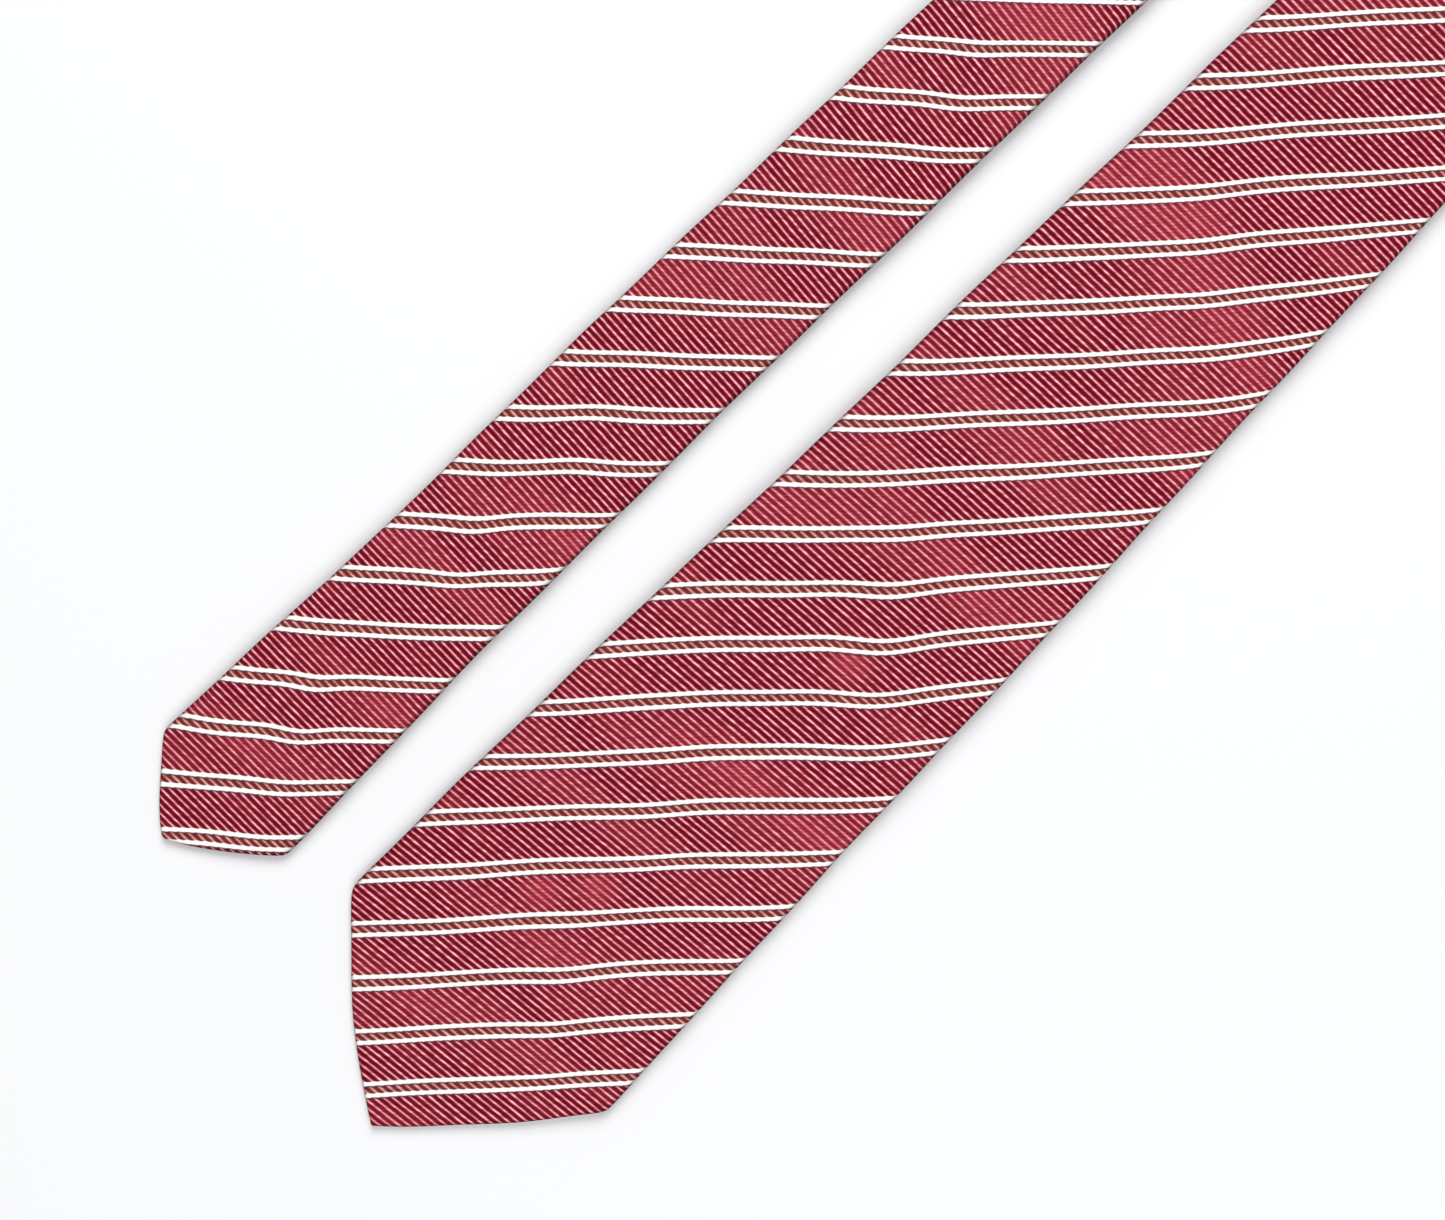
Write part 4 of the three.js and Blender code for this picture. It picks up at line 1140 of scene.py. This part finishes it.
halfLabel = labelLength / 2
halfCare = labels["careWidth"] / 2
label = addPlate("satinLabel", labelAt, labels["width"], labelAcross - halfLabel, labelAcross + halfLabel,
                 onBack, labels["height"], "label_satin", labelCloth, 31)
careLabel = addPlate("careLabel", careAt, labels["careLength"], careAcross - halfCare, careAcross + halfCare,
                     onBack, labels["height"], "care_satin", careCloth, 17)
labelStitches = []
for side, sign in (("Left", -1), ("Right", 1)):
    u = labelAcross + sign * (halfLabel - labels["inset"])
    row = stitchRow(labelAt - labels["rowReach"], u, labelAt + labels["rowReach"], u, onBack)
    labelStitches.append(addThread("labelStitch" + side, row, threads["fineRadius"]))
careRow = careAt - labels["careLength"] / 2 + labels["inset"]
careStitch = addThread("careLabelStitch",
                       stitchRow(careRow, careAcross - labels["careRowReach"], careRow,
                                 careAcross + labels["careRowReach"], onBack), threads["fineRadius"])
print("keeper and labels made")

foldLead = 4.0  # cloth starts to turn this far before a fold line
foldRun = 13.0  # and is fully turned this far past it


def alongBlade(s):
    return ((bladeTipX + tie["bladeLean"] * s) * mm, (s + bladeTipY) * mm, 0.0)


def alongTail(s):
    up = tie["length"] + tie["tipStagger"] - s
    return ((tailTipX + tie["tailLean"] * (up - tie["tipStagger"])) * mm, (up + bladeTipY) * mm, 0.0)


for piece in (bladePanel, bladePad, bladeSlip):
    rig.blend(piece, "tie_upper", "blade_end", start=alongBlade(bladeFold + foldLead),
             end=alongBlade(bladeFold - foldRun))
for piece in (tailPanel, tailPad, tailSlip):
    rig.blend(piece, "tie_upper", "tail_end", start=alongTail(tailFold - foldLead),
             end=alongTail(tailFold + foldRun))
for piece in (neckPanel, bladeJoinSeam, tailJoinSeam, interliningZigzag):
    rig.ride(piece, "tie_upper")
for piece in (bladeTipping, bladeTippingSeam, bladeTack, keeperTackLeft, keeperTackRight, label, careLabel,
              *labelStitches, careStitch):
    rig.ride(piece, "blade_end")
for piece in (tailTipping, tailTippingSeam, tailTack):
    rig.ride(piece, "tail_end")
keeperMiddle = alongBlade(keeperAt)
for piece, side in zip(keeperHalves, (-1, 1)):
    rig.blend(piece, "blade_end", "keeper",
             start=(keeperMiddle[0] + side * keeper["half"] * mm, keeperMiddle[1], 0.0),
             end=(keeperMiddle[0] + side * keeper["rise"] * mm, keeperMiddle[1], 0.0))

stoodFor = {
    bladePanel: ["blade_shell_end", "blade_shell_upper"],
    neckPanel: ["neck_shell"],
    tailPanel: ["tail_shell_upper", "tail_shell_end"],
    bladePad: ["interlining_blade_end", "interlining_blade_upper"],
    tailPad: ["interlining_tail_upper", "interlining_tail_end"],
    interliningZigzag: ["interlining_zigzag"],
    bladeTipping: ["blade_tipping"],
    tailTipping: ["tail_tipping"],
    bladeTippingSeam: ["blade_tipping_seam"],
    tailTippingSeam: ["tail_tipping_seam"],
    bladeJoinSeam: ["blade_join_seam"],
    tailJoinSeam: ["tail_join_seam"],
    bladeSlip: ["slip_stitch_blade_end", "slip_stitch_upper"],
    tailSlip: ["slip_stitch_tail_end"],
    bladeTack: ["blade_bar_tack"],
    tailTack: ["tail_bar_tack"],
    keeperHalves[0]: ["keeper_end_left", "keeper_band"],
    keeperHalves[1]: ["keeper_end_right"],
    keeperTackLeft: ["keeper_tack_left"],
    keeperTackRight: ["keeper_tack_right"],
    label: ["label"],
    labelStitches[0]: ["label_stitch_left"],
    labelStitches[1]: ["label_stitch_right"],
    careLabel: ["care_label"],
    careStitch: ["care_label_stitch"],
}
for piece, nodes in stoodFor.items():
    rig.replaces(piece, *nodes)


def flatSize(size):
    return (round(size[0] * mm, 4), round(size[1] * mm, 4))


for piece, flat, area, padding in ((bladePanel, bladeFlat, bladeArea, "interliningBlade"),
                                   (neckPanel, neckFlat, neckArea, "interliningBlade"),
                                   (tailPanel, tailFlat, tailArea, "interliningTail")):
    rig.sheet(piece, flat=flatSize(flat), held="folded", rests_on=[padding], area=round(area * mm * mm, 5))


# Length and widest width of a strip between two edges, and its flat area
def stripSize(start, end, edgesAt):
    s = np.linspace(start, end, 400)
    low, high = edgesAt(s)
    width = high - low
    area = float(np.sum((width[1:] + width[:-1]) / 2) * (s[1] - s[0]))
    return {"flat": flatSize((float(width.max()), end - start)), "area": round(area * mm * mm, 5)}


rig.sheet(bladePad, held="folded", rests_on=["bladePanel"],
         **stripSize(bladePadStart, neckMiddle, padEdges))
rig.sheet(tailPad, held="folded", rests_on=["tailPanel"],
         **stripSize(neckMiddle, tailPadEnd, padEdges))
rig.sheet(bladeTipping, held="laid", rests_on=["bladePanel"],
         **stripSize(*bladeTippingRun, tippingEdges))
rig.sheet(tailTipping, held="laid", rests_on=["tailPanel"],
         **stripSize(*tailTippingRun, tippingEdges))
for piece in keeperHalves:
    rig.sheet(piece, flat=flatSize((keeper["width"], keeperReach)), held="stretched", rests_on=["bladePanel"])
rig.sheet(label, flat=flatSize((labels["width"], labelLength)), held="laid", rests_on=["bladePanel"])
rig.sheet(careLabel, flat=flatSize((labels["careWidth"], labels["careLength"])), held="laid",
         rests_on=["bladePanel"])

# Plain view transform, so that white board and white silk come out as white
bpy.context.scene.view_settings.view_transform = "Standard"

sizes = {"cad": [list(corner) for corner in cadBox], "visual": [list(corner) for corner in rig.bounds()]}
with open("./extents.json", "w") as file:
    json.dump(sizes, file)
print("bodies, replaced solids and cloth declared")
